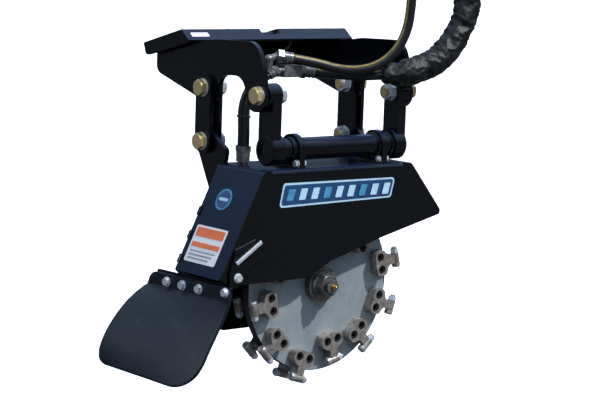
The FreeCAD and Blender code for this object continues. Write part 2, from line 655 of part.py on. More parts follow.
plate("back_side_plate", "XZ_Plane", "- hoodRear", "hoodGauge", [
    (chuteTop, roofTop, 14), (chuteX, chuteZ, 6), (-326, -600, 30), (-229, -722, 16), (-128, -722, 30),
    (60, -706, 90), (190, -600, 90), (316, -470, 30), (noseX, noseZ), (noseTop, roofTop, 14)],
    [(size("wheelX"), size("wheelZ"), 50)])

earOutline = [(-323, roofTop), (-323, tubeZ + 37, 36.9), (-249, tubeZ + 37, 36.9), (-247, -290, 20), (-222, roofTop)]
bushBore = size("tubeRadius") + size("earBushWall")
earHoles = [(tubeY, tubeZ, bushBore), (-313, -300, 4)]
plate("ear_left", "YZ_Plane", "- earOffset - earGauge / 2", "earGauge", earOutline, earHoles)
plate("ear_right", "YZ_Plane", "earOffset - earGauge / 2", "earGauge", earOutline, earHoles)
mirroredRings("ear_bushes", earFace - size("earGauge"), earFace, tubeY, tubeZ, bushBore, size("tubeRadius") + 0.05)


def smallBolt(x, y, z, grip, across, head, radius, direction):
    """Hex bolt and nut clamping a grip that starts at (x, y, z) and runs along a direction."""
    along = Vector(*direction).normalize()
    corner = across / 2 / math.cos(math.radians(30))
    outline = Part.makePolygon([Vector(corner * math.cos(math.radians(a)), corner * math.sin(math.radians(a)), 0)
                                for a in range(0, 361, 60)])
    turn = Rotation(Vector(0, 0, 1), along)
    top = Part.Face(outline).extrude(Vector(0, 0, head))
    top.Placement = Placement(Vector(x, y, z) - along * (head + 2), turn)
    foot = Part.Face(outline).extrude(Vector(0, 0, head + 1))
    foot.Placement = Placement(Vector(x, y, z) + along * grip, turn)
    disc = Part.makeCylinder(across * 0.72, 2, Vector(x, y, z) - along * 2, along)
    shank = Part.makeCylinder(radius, grip + head + 6, Vector(x, y, z) - along * 2, along)
    return top.fuse([disc, shank, foot]).removeSplitter()


earPins = [smallBolt(-earFace, -313, -300, size("earGauge"), 14, 6, 4, (1, 0, 0)),
           smallBolt(earFace, -313, -300, size("earGauge"), 14, 6, 4, (-1, 0, 0))]

lugOutline = [(-52, -214, 26), (-52, -290, 24), (-98, -374, 30), (-150, -495), (-150, roofTop), (-158, roofTop),
              (-165, -279, 14)]
lugHole = [(rearY, lowerZ, pin + size("openPivotPlay"))]
plate("rear_lug_left", "YZ_Plane", "- cheekFace", "cheekGauge", lugOutline, lugHole)
plate("rear_lug_right", "YZ_Plane", "cheekFace - cheekGauge", "cheekGauge", lugOutline, lugHole)

# ---------------------------------------------------------------- flap carrier and flap
hinge = Vector(size("hingeX"), size("hingeY"), size("hingeZ"))
hingeTurn = Placement(hinge, Rotation(Vector(0, 0, 1), size("hingeTurn")))
halfFlap = size("flapWidth") / 2
flapHalf = size("flapGauge") / 2
boltRow = [74, 17, -43]
boltSpots = [(u, 17) for u in boltRow] + [(-134, 22)]
boltHoles = [(u, v, size("flapBoltRadius")) for u, v in boltSpots]
plate("flap_carrier", "YZ_Plane", "flapGauge / 2", "carrierGauge", [
    (-143, 1, 6), (124, 1, 6), (124, 39.5), (-117, 39.5), (-117, 33), (-143, 33, 4)], boltHoles, hingeTurn)
rootBlank = plate("flapRootBlank", "YZ_Plane", "- flapGauge / 2", "flapGauge", [
    (-halfFlap, 0), (halfFlap, 0), (halfFlap, 36, 32), (-halfFlap, 36, 20)], boltHoles, hingeTurn)
del nodes["flapRootBlank"]
rootSeat = cylinder("flapRootSeat", "flapGauge / 2 + 2", "flapWidth + 20",
                    hingeTurn.multiply(Placement(Vector(0, -halfFlap - 10, 0), Rotation(Vector(1, 0, 0), -90))))
cut("flap_root", rootBlank, rootSeat)

flapBolts = []
flapGrip = size("flapGauge") + size("carrierGauge")
for u, v in boltSpots[:3]:
    bolt = smallBolt(0, 0, 0, flapGrip, 17, 7, size("flapBoltRadius"), (1, 0, 0))
    bolt.Placement = hingeTurn.multiply(Placement(Vector(-flapHalf, u, v), Rotation()))
    flapBolts.append(bolt)
endBolt = Part.makeCylinder(size("flapBoltRadius"), flapGrip, Vector(0, 0, 0), Vector(1, 0, 0))
endBolt = endBolt.fuse(Part.makeCone(8, 12, 7, Vector(-7, 0, 0), Vector(1, 0, 0)))
endBolt.Placement = hingeTurn.multiply(Placement(Vector(-flapHalf, *boltSpots[3]), Rotation()))
flapBolts.append(endBolt)
shaped("flap_bolts", Part.makeCompound(flapBolts))


def flapSheet():
    """Rubber flap hanging from the hinge line: two hanging edges joined by straight rulings."""
    across = Vector(-math.sin(math.radians(size("hingeTurn"))), math.cos(math.radians(size("hingeTurn"))), 0)
    far, near = hinge + across * halfFlap, hinge - across * halfFlap
    farEdge = [(0, 0), (-44, -19), (-99, -72), (-139, -134), (-146, -176)]
    nearEdge = [(0, 0), (-9, -26), (-32, -64), (-62, -118), (-104, -203)]

    def section(root, edge):
        points = [Vector(root.x + dx, root.y, root.z + dz) for dx, dz in edge]
        curve = Part.BSplineCurve()
        curve.interpolate(points)
        front, back = [], []
        for i in range(9):
            at = curve.FirstParameter + (curve.LastParameter - curve.FirstParameter) * i / 8
            run = curve.tangent(at)[0]
            normal = Vector(run.z, 0, -run.x)
            front.append(curve.value(at) + normal * flapHalf)
            back.append(curve.value(at) - normal * flapHalf)
        sides = []
        for line in (front, back):
            side = Part.BSplineCurve()
            side.interpolate(line)
            sides.append(side.toShape())
        return Part.Wire([sides[0], Part.makeLine(front[-1], back[-1]), sides[1], Part.makeLine(back[0], front[0])])

    panel = Part.makeLoft([section(far, farEdge), section(near, nearEdge)], True, True)
    bottomFar = Vector(far.x + farEdge[-1][0], far.y, far.z + farEdge[-1][1])
    bottomNear = Vector(near.x + nearEdge[-1][0], near.y, near.z + nearEdge[-1][1])
    kneeFar = Vector(far.x + farEdge[-2][0], far.y, far.z + farEdge[-2][1])
    kneeNear = Vector(near.x + nearEdge[-2][0], near.y, near.z + nearEdge[-2][1])
    for corner, up, over, radius in ((bottomNear, kneeNear, bottomFar, 75), (bottomFar, kneeFar, bottomNear, 30)):
        first, second = (up - corner).normalize(), (over - corner).normalize()
        half = first.getAngle(second) / 2
        bisector = (first + second).normalize()
        reach = radius / math.tan(half)
        middle = corner + bisector * (radius / math.sin(half) - radius)
        a, b = corner + first * reach, corner + second * reach
        outside = corner - bisector * 60
        flare = (first * -1 + second).normalize()
        outline = Part.Wire([Part.Arc(a, middle, b).toShape(), Part.makeLine(b, b - flare * -60 - bisector * 60),
                             Part.makeLine(b - flare * -60 - bisector * 60, a - flare * 60 - bisector * 60),
                             Part.makeLine(a - flare * 60 - bisector * 60, a)])
        normal = first.cross(second).normalize()
        face = Part.Face(outline)
        tool = face.extrude(normal * 120)
        tool.translate(normal * -60)
        panel = panel.cut(tool)
    nose = Part.makeCylinder(flapHalf, size("flapWidth"), near, across)
    return panel.fuse(nose)


shaped("flap_panel", flapSheet())

armOutline = [(-345, -541, 6), (-330, -494, 10), (-272, -474, 8), (-238, -501), (-238, -516, 6), (-300, -541, 8),
              (-322, -579, 8), (-345, -581, 6)]
plate("carrier_arm", "XZ_Plane", "- hoodFront", "carrierGauge", armOutline, [(-322, -556, 5)])
armBolt = smallBolt(-322, hoodFront - size("carrierGauge"), -556, 12, 16, 6, 5, (0, 1, 0))

# ---------------------------------------------------------------- cutter wheel
wheelX, wheelZ = size("wheelX"), size("wheelZ")
face = size("discFace")
discRear = face + size("discGauge")
leads = [183, 180, 165, 142]
holderAngles = [size("holderLead") - 360 / size("holderCount") * k for k in range(int(size("holderCount")))]
screwSpots = []
for k, angle in enumerate(holderAngles):
    reach, half = leads[k % 4], size("holderBoltPitch") / 2
    for side in (-half, half):
        a = math.radians(angle)
        screwSpots.append((wheelX + reach * math.cos(a) - side * math.sin(a),
                           wheelZ + reach * math.sin(a) + side * math.cos(a), 7))
disc = rounds("cutter_disc", "XZ_Plane", "- discFace - discGauge", "discGauge",
              [(wheelX, wheelZ, size("discRadius"), size("shaftRadius"))])
spots = addSketch(disc, "holderBoltHoles", "XZ_Plane", "- discFace", circles=screwSpots)
drilled = disc.newObject("PartDesign::Pocket", "holderBoltCut")
drilled.Profile = spots
drilled.Type = "ThroughAll"
doc.recompute()
solidVolume = math.pi * (size("discRadius") ** 2 - size("shaftRadius") ** 2) * size("discGauge")
if abs(solidVolume - disc.Shape.Volume) < 1:
    drilled.Reversed = True
    doc.recompute()
print(f"disc: {len(screwSpots)} holes take {solidVolume - disc.Shape.Volume:.0f} cubic mm")


def turnedOnWheel(radius, start, end):
    """A cylinder on the wheel's axis between two distances along Y."""
    return Part.makeCylinder(radius, end - start, Vector(wheelX, start, wheelZ), Vector(0, 1, 0))


shaft = turnedOnWheel(size("shaftRadius"), face - 22, size("shaftRear"))
shaft = shaft.fuse([turnedOnWheel(size("threadRadius"), size("shaftNose"), face - 22),
                    turnedOnWheel(size("rearHubRadius"), discRear, discRear + size("rearHubLength"))])
shaped("drive_shaft", shaft.removeSplitter())
flange = turnedOnWheel(size("hubRadius"), face - size("hubLength"), face)
flange = flange.fuse(turnedOnWheel(35, face - 22, face - size("hubLength")))
shaped("hub_flange", flange.cut(turnedOnWheel(size("shaftRadius"), face - 22, face)))
nutHex = hexagon("hubNutHex", "hubNutAcross", "hubNutHeight", alongY(wheelX, face - 22, wheelZ, True))
nutBore = cylinder("hubNutBore", "threadRadius", "hubNutHeight", alongY(wheelX, face - 22, wheelZ, True))
cut("hub_nut", nutHex, nutBore)
greaseStem = turnedOnWheel(4.5, size("shaftNose") - 9, size("shaftNose"))
greaseBall = Part.makeSphere(3.4, Vector(wheelX, size("shaftNose") - 11, wheelZ))
shaped("grease_fitting", greaseStem.fuse([greaseBall, turnedOnWheel(6.5, size("shaftNose") - 4, size("shaftNose"))]))

holderOutline = [(-16, -32, 14), (14, -32, 12), (24, -11, 8), (44, -11, 3), (44, 11, 3), (24, 11, 8),
                 (14, 32, 12), (-16, 32, 14)]


def toothParts():
    """One holder with its tooth, nut and screws at the wheel's centre, on the front face."""
    gaugeHolder, reach, plane = size("holderGauge"), size("tipReach"), size("toothPlane")
    base = Part.Face(Part.Wire([e.toShape() for e in roundedEdges(holderOutline)]))
    base = base.extrude(Vector(0, 0, gaugeHolder))
    half = size("socketLength") / 2
    socket = Part.makeCylinder(size("socketRadius"), 2 * half, Vector(reach, -half, plane), Vector(0, 1, 0))
    holder = base.fuse(socket)
    stud = Part.makeCylinder(size("studRadius"), 2 * half, Vector(reach, -half, plane), Vector(0, 1, 0))
    holder = holder.cut(stud)
    pitch = size("holderBoltPitch") / 2
    for side in (-pitch, pitch):
        holder = holder.cut(Part.makeCylinder(7, gaugeHolder, Vector(0, side, 0), Vector(0, 0, 1)))
        holder = holder.cut(Part.makeCylinder(11, 12, Vector(0, side, gaugeHolder - 12), Vector(0, 0, 1)))
    length = size("carbideLength")
    head = Part.makeCone(size("carbideRadius") - 1.5, size("carbideRadius"), 3, Vector(reach, -half - length, plane),
                         Vector(0, 1, 0))
    head = head.fuse(Part.makeCylinder(size("carbideRadius"), length - 3, Vector(reach, -half - length + 3, plane),
                                       Vector(0, 1, 0)))
    tooth = head.fuse(Part.makeCylinder(size("studRadius"), 2 * half + size("toothNutHeight") + 4,
                                        Vector(reach, -half, plane), Vector(0, 1, 0)))
    tooth = tooth.cut(Part.makeSphere(14, Vector(reach, -half - length - 11.5, plane)))
    corner = size("toothNutAcross") / 2 / math.cos(math.radians(30))
    outline = Part.makePolygon([Vector(corner * math.cos(math.radians(a)), 0, corner * math.sin(math.radians(a)))
                                for a in range(0, 361, 60)])
    nut = Part.Face(outline).extrude(Vector(0, size("toothNutHeight"), 0))
    nut.translate(Vector(reach, half, plane))
    nut = nut.cut(Part.makeCylinder(size("studRadius"), size("toothNutHeight"), Vector(reach, half, plane), Vector(0, 1, 0)))
    screws = []
    for side in (-pitch, pitch):
        cap = Part.makeCylinder(11, 9, Vector(0, side, gaugeHolder - 12), Vector(0, 0, 1))
        corner = 10 / 2 / math.cos(math.radians(30))
        recess = Part.makePolygon([Vector(corner * math.cos(math.radians(a)), side + corner * math.sin(math.radians(a)), 0)
                                   for a in range(0, 361, 60)])
        recess = Part.Face(recess).extrude(Vector(0, 0, 6))
        recess.translate(Vector(0, 0, gaugeHolder - 9))
        stem = Part.makeCylinder(7, gaugeHolder - 12 + size("discGauge") / 2, Vector(0, side, -size("discGauge") / 2),
                                 Vector(0, 0, 1))
        screws.append(cap.fuse(stem).cut(recess))
    return holder, tooth, nut, Part.makeCompound(screws)


holder, tooth, toothNut, screws = toothParts()
frontPlaces, backPlaces = [], []
for k, angle in enumerate(holderAngles):
    a = math.radians(angle)
    radial = Vector(math.cos(a), 0, math.sin(a))
    origin = Vector(wheelX, 0, wheelZ) + radial * leads[k % 4]
    leading = Vector(-math.sin(a), 0, math.cos(a))
    for places, y, outward in ((frontPlaces, face, -1), (backPlaces, discRear, 1)):
        normal = Vector(0, outward, 0)
        tangential = leading * -outward if outward < 0 else leading
        axes = FreeCAD.Matrix(radial.x, tangential.x, normal.x, origin.x, radial.y, tangential.y, normal.y, y,
                              radial.z, tangential.z, normal.z, origin.z, 0, 0, 0, 1)
        places.append(axes)


def onWheel(label, shapes):
    """Copies of one-face pieces around the wheel; the back set is mirrored so both faces cut the same way."""
    solids = []
    for source, places in shapes:
        for place in places:
            for solid in source.Solids:
                piece = solid.transformed(place, True)
                if piece.Volume < 0:
                    piece.reverse()
                solids.append(piece)
    return shaped(label, Part.makeCompound(solids))


onWheel("tooth_holders", [(holder, frontPlaces), (holder, backPlaces)])
onWheel("cutter_teeth", [(tooth, frontPlaces), (tooth, backPlaces)])
onWheel("tooth_nuts", [(toothNut, frontPlaces), (toothNut, backPlaces)])
onWheel("holder_screws", [(screws, frontPlaces), (screws, backPlaces)])

# ---------------------------------------------------------------- spindle and motor
quillFront = hoodRear - sheetGauge - size("quillLength")
quill = turnedOnWheel(size("quillRadius"), quillFront, hoodRear - sheetGauge)
quill = quill.fuse(turnedOnWheel(84, hoodRear - sheetGauge - 12, hoodRear - sheetGauge))
quill = quill.cut(turnedOnWheel(size("bearingRadius") - 6, quillFront, hoodRear - sheetGauge))
bearingSeats = [quillFront + 4, hoodRear - sheetGauge - 4 - size("bearingGauge")]
quill = quill.cut(turnedOnWheel(size("bearingRadius"), quillFront, bearingSeats[0] + size("bearingGauge")))
quill = quill.cut(turnedOnWheel(size("bearingRadius"), bearingSeats[1], hoodRear - sheetGauge))
shaped("spindle_housing", quill)
bearings = []
for start in bearingSeats:
    ring = turnedOnWheel(size("bearingRadius"), start, start + size("bearingGauge"))
    bearings.append(ring.cut(turnedOnWheel(size("shaftRadius") + 0.05, start, start + size("bearingGauge"))))
shaped("spindle_bearings", Part.makeCompound(bearings))

half = size("motorFlange") / 2
flangeEdges = roundedEdges([(-half, -half, 18), (half, -half, 18), (half, half, 18), (-half, half, 18)])
flangeFace = Part.Face(Part.Wire([e.toShape() for e in flangeEdges]))
motor = flangeFace.extrude(Vector(0, 0, 18))
motor.Placement = Placement(Vector(wheelX, hoodRear, wheelZ), Rotation(Vector(1, 0, 0), -90))
motor = motor.fuse([turnedOnWheel(size("motorRadius"), hoodRear + 18, hoodRear + size("motorLength")),
                    turnedOnWheel(size("motorRadius") + 6, hoodRear + size("motorLength") - 26,
                                  hoodRear + size("motorLength") - 6)])
for shift in (-28, 28):
    motor = motor.fuse(Part.makeCylinder(16, 30, Vector(wheelX + shift, hoodRear + 62, wheelZ + 40), Vector(0, 0, 1)))
motor = motor.removeSplitter()
boltXZ = [(wheelX + i * 57, wheelZ + j * 57) for i in (-1, 1) for j in (-1, 1)]
for x, z in boltXZ:
    motor = motor.cut(Part.makeCylinder(6, 18, Vector(x, hoodRear, z), Vector(0, 1, 0)))
shaped("hydraulic_motor", motor)
motorBolts = []
for x, z in boltXZ:
    corner = 19 / 2 / math.cos(math.radians(30))
    outline = Part.makePolygon([Vector(x + corner * math.cos(math.radians(a)), hoodRear + 18,
                                       z + corner * math.sin(math.radians(a))) for a in range(0, 361, 60)])
    motorBolts.append(Part.Face(outline).extrude(Vector(0, 8, 0)).fuse(
        Part.makeCylinder(6, 18, Vector(x, hoodRear, z), Vector(0, 1, 0))))
shaped("hood_bolts", Part.makeCompound(earPins + [armBolt] + motorBolts))

# ---------------------------------------------------------------- the link frame sits off centre
linkFrame = ["cheek_left", "cheek_right", "rear_crossplate", "top_pivot_bolts", "top_pivot_nuts", "pivot_washers",
             "front_link_left", "front_link_right", "front_bushes", "torsion_tube", "tube_end_caps",
             "rear_link_outer_left", "rear_link_outer_right", "rear_link_inner_left", "rear_link_inner_right",
             "rear_lower_bolts", "rear_lower_nuts", "rear_lug_left", "rear_lug_right"]
for label in linkFrame:
    nodes[label].setExpression("Placement.Base.x", bound("linkShift"))

# ---------------------------------------------------------------- checks and export
doc.recompute()
problems = []
for item in doc.Objects:
    if any(word in ("Invalid", "Error") for word in item.State):
        problems.append(f"{item.Label}: {item.State}")
for label, item in nodes.items():
    shape = item.Shape
    if shape.isNull() or not shape.isValid() or not shape.Solids:
        problems.append(f"{label}: null or invalid shape")
for problem in problems:
    print("PROBLEM", problem)
if problems:
    raise SystemExit(1)
os.makedirs("parts", exist_ok=True)
for label, item in nodes.items():
    item.Shape.exportStep(f"parts/{label}.step")
print(f"{len(nodes)} nodes written")
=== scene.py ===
import bpy
import bmesh
import json
import math
from mathutils import Matrix, Vector, noise


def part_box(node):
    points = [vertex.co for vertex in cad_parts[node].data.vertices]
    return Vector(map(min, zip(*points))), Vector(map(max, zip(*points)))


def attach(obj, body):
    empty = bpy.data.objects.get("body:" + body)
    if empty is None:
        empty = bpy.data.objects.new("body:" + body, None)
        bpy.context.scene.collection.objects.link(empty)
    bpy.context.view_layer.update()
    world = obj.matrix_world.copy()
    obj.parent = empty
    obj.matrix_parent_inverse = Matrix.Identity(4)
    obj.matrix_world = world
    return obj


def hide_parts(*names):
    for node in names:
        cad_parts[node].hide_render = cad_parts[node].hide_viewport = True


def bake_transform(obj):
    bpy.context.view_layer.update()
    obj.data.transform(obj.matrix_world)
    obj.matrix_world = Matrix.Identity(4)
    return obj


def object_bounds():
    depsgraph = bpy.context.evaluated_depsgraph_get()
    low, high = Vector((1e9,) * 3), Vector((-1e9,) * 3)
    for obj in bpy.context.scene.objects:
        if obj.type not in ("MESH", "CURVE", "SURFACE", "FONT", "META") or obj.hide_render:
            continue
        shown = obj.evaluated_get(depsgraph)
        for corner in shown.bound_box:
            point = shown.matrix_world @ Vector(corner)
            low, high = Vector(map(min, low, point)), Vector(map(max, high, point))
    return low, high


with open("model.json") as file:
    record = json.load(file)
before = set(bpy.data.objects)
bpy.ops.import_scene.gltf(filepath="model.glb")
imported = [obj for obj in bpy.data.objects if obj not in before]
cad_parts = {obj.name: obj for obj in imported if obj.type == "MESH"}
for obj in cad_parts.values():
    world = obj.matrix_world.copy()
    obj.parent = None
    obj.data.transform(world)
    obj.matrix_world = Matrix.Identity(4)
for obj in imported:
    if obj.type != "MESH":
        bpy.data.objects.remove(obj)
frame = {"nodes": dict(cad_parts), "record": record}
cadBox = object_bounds()
nodes = frame["nodes"]
scene = bpy.context.scene
print("frame loaded:", len(nodes), "nodes")

# the head hangs from a loader, so the camera looks slightly down on it from the chute side
shot = {
    "place": (-3.110, -3.9637, 0.2578),  # metres from the hook edge
    "turn": 39.27,  # degrees to the right of +Y
    "down": 7.79,
    "roll": 2.0,
    "lens": 120.0,
    "sensor": 36.0,
}


def addCamera(settings):
    data = bpy.data.cameras.new("shotCamera")
    data.lens = settings["lens"]
    data.sensor_width = settings["sensor"]
    data.clip_end = 300
    camera = bpy.data.objects.new("shotCamera", data)
    scene.collection.objects.link(camera)
    turn = Matrix.Rotation(math.radians(-settings["turn"]), 4, "Z")
    tilt = Matrix.Rotation(math.radians(90 - settings["down"]), 4, "X")
    roll = Matrix.Rotation(math.radians(settings["roll"]), 4, "Z")
    camera.matrix_world = Matrix.Translation(settings["place"]) @ turn @ tilt @ roll
    scene.camera = camera


addCamera(shot)


# one output of a shader node, with the arithmetic that the finishes use
class Socket:
    def __init__(self, finish, output):
        self.finish = finish
        self.output = output

    def maths(self, operation, first, second):
        return self.finish.node("ShaderNodeMath", {"operation": operation}, {0: first, 1: second})

    def __add__(self, other):
        return self.maths("ADD", self, other)

    def __radd__(self, other):
        return self.maths("ADD", other, self)

    def __sub__(self, other):
        return self.maths("SUBTRACT", self, other)

    def __rsub__(self, other):
        return self.maths("SUBTRACT", other, self)

    def __mul__(self, other):
        return self.maths("MULTIPLY", self, other)

    def __rmul__(self, other):
        return self.maths("MULTIPLY", other, self)

    def __pow__(self, other):
        return self.maths("POWER", self, other)

    def __lt__(self, other):
        return self.maths("LESS_THAN", self, other)


def setStops(ramp, stops):
    while len(ramp.elements) < len(stops):
        ramp.elements.new(0.5)
    for element, (position, colour) in zip(ramp.elements, stops):
        element.position = position
        element.color = (*colour, 1)


class Finish:
    def __init__(self, name):
        self.material = bpy.data.materials.new(name)
        self.material.use_nodes = True
        self.tree = self.material.node_tree
        self.tree.nodes.clear()
        self.shader = self.tree.nodes.new("ShaderNodeBsdfPrincipled")
        output = self.tree.nodes.new("ShaderNodeOutputMaterial")
        self.tree.links.new(self.shader.outputs[0], output.inputs["Surface"])
        self.place = self.node("ShaderNodeTexCoord", {}, {}, "Object")

    def node(self, kind, settings, values, output=0):
        made = self.tree.nodes.new(kind)
        for key, value in settings.items():
            if key == "stops":
                setStops(made.color_ramp, value)
            else:
                setattr(made, key, value)
        for key, value in values.items():
            self.feed(made.inputs[key], value)
        return Socket(self, made.outputs[output])

    def feed(self, target, value):
        if isinstance(value, Socket):
            self.tree.links.new(value.output, target)
        elif hasattr(target.default_value, "__len__") and len(target.default_value) == 4:
            target.default_value = (*value[:3], 1)
        else:
            target.default_value = value

    def surface(self, **values):
        names = {"colour": "Base Color", "rough": "Roughness", "metal": "Metallic", "coat": "Coat Weight",
                 "specular": "Specular IOR Level", "normal": "Normal"}
        for key, value in values.items():
            self.feed(self.shader.inputs[names[key]], value)
        return self.material

    def grain(self, scale, detail=3.0, rough=0.55, at=None, stretch=None):
        at = at or self.place
        if stretch:
            at = self.node("ShaderNodeMapping", {}, {"Vector": at, "Scale": stretch})
        values = {"Vector": at, "Scale": scale, "Detail": detail, "Roughness": rough}
        return self.node("ShaderNodeTexNoise", {}, values, "Fac")

    def ramp(self, factor, stops):
        return self.node("ShaderNodeValToRGB", {"stops": stops}, {"Fac": factor}, "Color")

    def blend(self, factor, first, second):
        settings = {"data_type": "RGBA", "clamp_factor": True}
        return self.node("ShaderNodeMix", settings, {0: factor, 6: first, 7: second}, 2)

    def between(self, value, low, high, toLow=0.0, toHigh=1.0):
        values = {"Value": value, "From Min": low, "From Max": high, "To Min": toLow, "To Max": toHigh}
        return self.node("ShaderNodeMapRange", {"clamp": True}, values, "Result")

    def bump(self, height, distance, strength=1.0):
        values = {"Height": height, "Distance": distance, "Strength": strength}
        return self.node("ShaderNodeBump", {}, values, "Normal")

    def upward(self):
        normal = self.node("ShaderNodeNewGeometry", {}, {}, "Normal")
        return self.node("ShaderNodeSeparateXYZ", {}, {0: normal}, "Z")


def glossPaint():
    f = Finish("glossBlackPaint")
    peel = f.grain(260, 2.0)
    dust = f.grain(9, 5.0) * f.between(f.upward(), 0.1, 0.95)
    dust = f.between(dust, 0.3, 0.75, 0.0, 0.16)
    smear = f.grain(5, 6.0, 0.65, stretch=(1, 1, 2.4))
    # painted sky reflection: faces turned upward are tinted navy blue, standing in for the sky seen in the
    # gloss paint
    base = f.blend(f.between(f.upward(), 0.45, 0.8), (0.0022, 0.0026, 0.0038), (0.0055, 0.0120, 0.030))
    colour = f.blend(dust, base, (0.020, 0.029, 0.048))
    rough = f.between(smear, 0.35, 0.7, 0.12, 0.24) + dust * 0.6
    return f.surface(colour=colour, rough=rough, specular=0.26, normal=f.bump(peel, 0.00012, 0.35))


def deepPaint():
    f = Finish("chutePaint")
    peel = f.grain(260, 2.0)
    film = f.grain(4, 5.0, 0.6)
    colour = f.blend(f.between(film, 0.3, 0.75), (0.0012, 0.0062, 0.0190), (0.0026, 0.0094, 0.0270))
    rough = f.between(film, 0.3, 0.75, 0.18, 0.30)
    return f.surface(colour=colour, rough=rough, specular=0.24, normal=f.bump(peel, 0.00012, 0.35))


def platedSteel(name, pale, tint, shade):
    f = Finish(name)
    cloud = f.grain(60, 4.0)
    fine = f.grain(420, 3.0)
    colour = f.ramp(cloud, [(0.28, shade), (0.5, pale), (0.72, tint)])
    rough = f.between(fine, 0.3, 0.7, 0.22, 0.42)
    return f.surface(colour=colour, rough=rough, metal=0.62, normal=f.bump(fine, 0.0001, 0.5))


discEdgeShadeRadii = {"from": 0.2135, "to": 0.2146}  # radii of a painted shade band at the disc's edge: the unlit edge is painted near black


def discSteel(centre):
    f = Finish("groundDiscSteel")
    away = tuple(-c for c in centre)
    moved = f.node("ShaderNodeMapping", {}, {"Vector": f.place, "Location": away})
    x = f.node("ShaderNodeSeparateXYZ", {}, {0: moved}, "X")
    z = f.node("ShaderNodeSeparateXYZ", {}, {0: moved}, "Z")
    radius = (x * x + z * z) ** 0.5
    rings = f.node("ShaderNodeCombineXYZ", {}, {"X": radius, "Y": 0.0, "Z": 0.0})
    scuff = f.grain(520, 4.0, 0.6, at=rings)
    blotch = f.grain(11, 6.0, 0.62)
    streak = f.grain(38, 4.0, 0.6, stretch=(1.0, 1.0, 0.35))
    mixed = blotch * 0.55 + scuff * 0.22 + streak * 0.23
    colour = f.ramp(mixed, [(0.32, (0.20, 0.235, 0.25)), (0.5, (0.30, 0.345, 0.36)),
                            (0.68, (0.40, 0.44, 0.455))])
    # painted shade: a thin band at the disc's outer edge is darkened to near black, for its unlit edge
    edgeShade = f.between(radius, discEdgeShadeRadii["from"], discEdgeShadeRadii["to"])
    colour = f.blend(edgeShade, colour, (0.012, 0.012, 0.013))
    rough = f.between(mixed, 0.35, 0.65, 0.52, 0.36)
    return f.surface(colour=colour, rough=rough, metal=0.35, normal=f.bump(mixed, 0.0004, 0.4))


def forgedSteel():
    f = Finish("forgedHolderSteel")
    scale = f.grain(85, 6.0, 0.62)
    spots = f.grain(24, 4.0)
    colour = f.ramp(scale, [(0.3, (0.125, 0.110, 0.100)), (0.52, (0.27, 0.245, 0.225)),
                            (0.72, (0.44, 0.41, 0.375))])
    colour = f.blend(f.between(spots, 0.52, 0.75, 0.0, 0.5), colour, (0.22, 0.155, 0.105))
    rough = f.between(scale, 0.3, 0.7, 0.56, 0.38)
    return f.surface(colour=colour, rough=rough, metal=0.5, normal=f.bump(scale, 0.0007, 0.6))


def carbideSteel():
    f = Finish("carbideTooth")
    chips = f.grain(190, 5.0)
    colour = f.ramp(chips, [(0.3, (0.22, 0.21, 0.20)), (0.55, (0.44, 0.43, 0.41)),
                            (0.75, (0.68, 0.67, 0.65))])
    return f.surface(colour=colour, rough=f.between(chips, 0.3, 0.7, 0.44, 0.28), metal=0.6,
                     normal=f.bump(chips, 0.0005, 0.5))


def hoseCover(striped):
    f = Finish("hoseCoverStriped" if striped else "hoseCover")
    uv = f.node("ShaderNodeUVMap", {"uv_map": "along"}, {}, "UV")
    around = f.node("ShaderNodeSeparateXYZ", {}, {0: uv}, "X")
    skin = f.grain(330, 3.0)
    colour = f.ramp(skin, [(0.35, (0.006, 0.006, 0.007)), (0.7, (0.014, 0.014, 0.016))])
    if striped:
        line = ((around - 0.5) * (around - 0.5)) < 0.0011
        marks = f.between(f.grain(55, 2.0, at=uv, stretch=(0.2, 1.0, 1.0)), 0.56, 0.60)
        colour = f.blend(line * (1 - marks * 0.55), colour, (0.25, 0.185, 0.020))
    wrap = f.node("ShaderNodeTexWave", {"bands_direction": "Y"}, {"Vector": uv, "Scale": 95.0}, "Fac")
    rough = f.between(skin, 0.3, 0.7, 0.42, 0.3)
    return f.surface(colour=colour, rough=rough, specular=0.35,
                     normal=f.bump(wrap * 0.35 + skin, 0.0002, 0.6))


def wovenSleeve():
    f = Finish("wovenSleeve")
    uv = f.node("ShaderNodeUVMap", {"uv_map": "along"}, {}, "UV")
    warp = f.node("ShaderNodeTexWave", {"bands_direction": "X"}, {"Vector": uv, "Scale": 32.0}, "Fac")
    weft = f.node("ShaderNodeTexWave", {"bands_direction": "Y"}, {"Vector": uv, "Scale": 160.0}, "Fac")
    fuzz = f.grain(45, 5.0)
    cloth = warp * 0.3 + weft * 0.3 + fuzz * 0.4
    colour = f.ramp(cloth, [(0.25, (0.0016, 0.0016, 0.0020)), (0.75, (0.0058, 0.0058, 0.0070))])
    rough = f.between(fuzz, 0.3, 0.7, 0.34, 0.50)
    return f.surface(colour=colour, rough=rough, specular=0.32,
                     normal=f.bump(warp * 0.5 + weft * 0.5, 0.0004, 0.55))


def flapRubber():
    f = Finish("flapRubber")
    highlightHazeNoise = f.grain(7, 6.0, 0.66)
    scuffs = f.grain(30, 6.0, 0.7, stretch=(1.0, 0.35, 1.0))
    pores = f.grain(420, 3.0)
    # painted highlight: this noise lightens the flap in bluish patches, a painted highlight haze; the same
    # noise varies the roughness
    colour = f.ramp(highlightHazeNoise, [(0.3, (0.0022, 0.0052, 0.0105)), (0.55, (0.0040, 0.0080, 0.0150)),
                           (0.78, (0.0075, 0.0125, 0.0210))])
    colour = f.blend(f.between(scuffs, 0.58, 0.74, 0.0, 0.20), colour, (0.060, 0.070, 0.085))
    rough = f.between(highlightHazeNoise, 0.3, 0.7, 0.36, 0.52)
    return f.surface(colour=colour, rough=rough, specular=0.30,
                     normal=f.bump(pores * 0.4 + scuffs, 0.0006, 0.4))


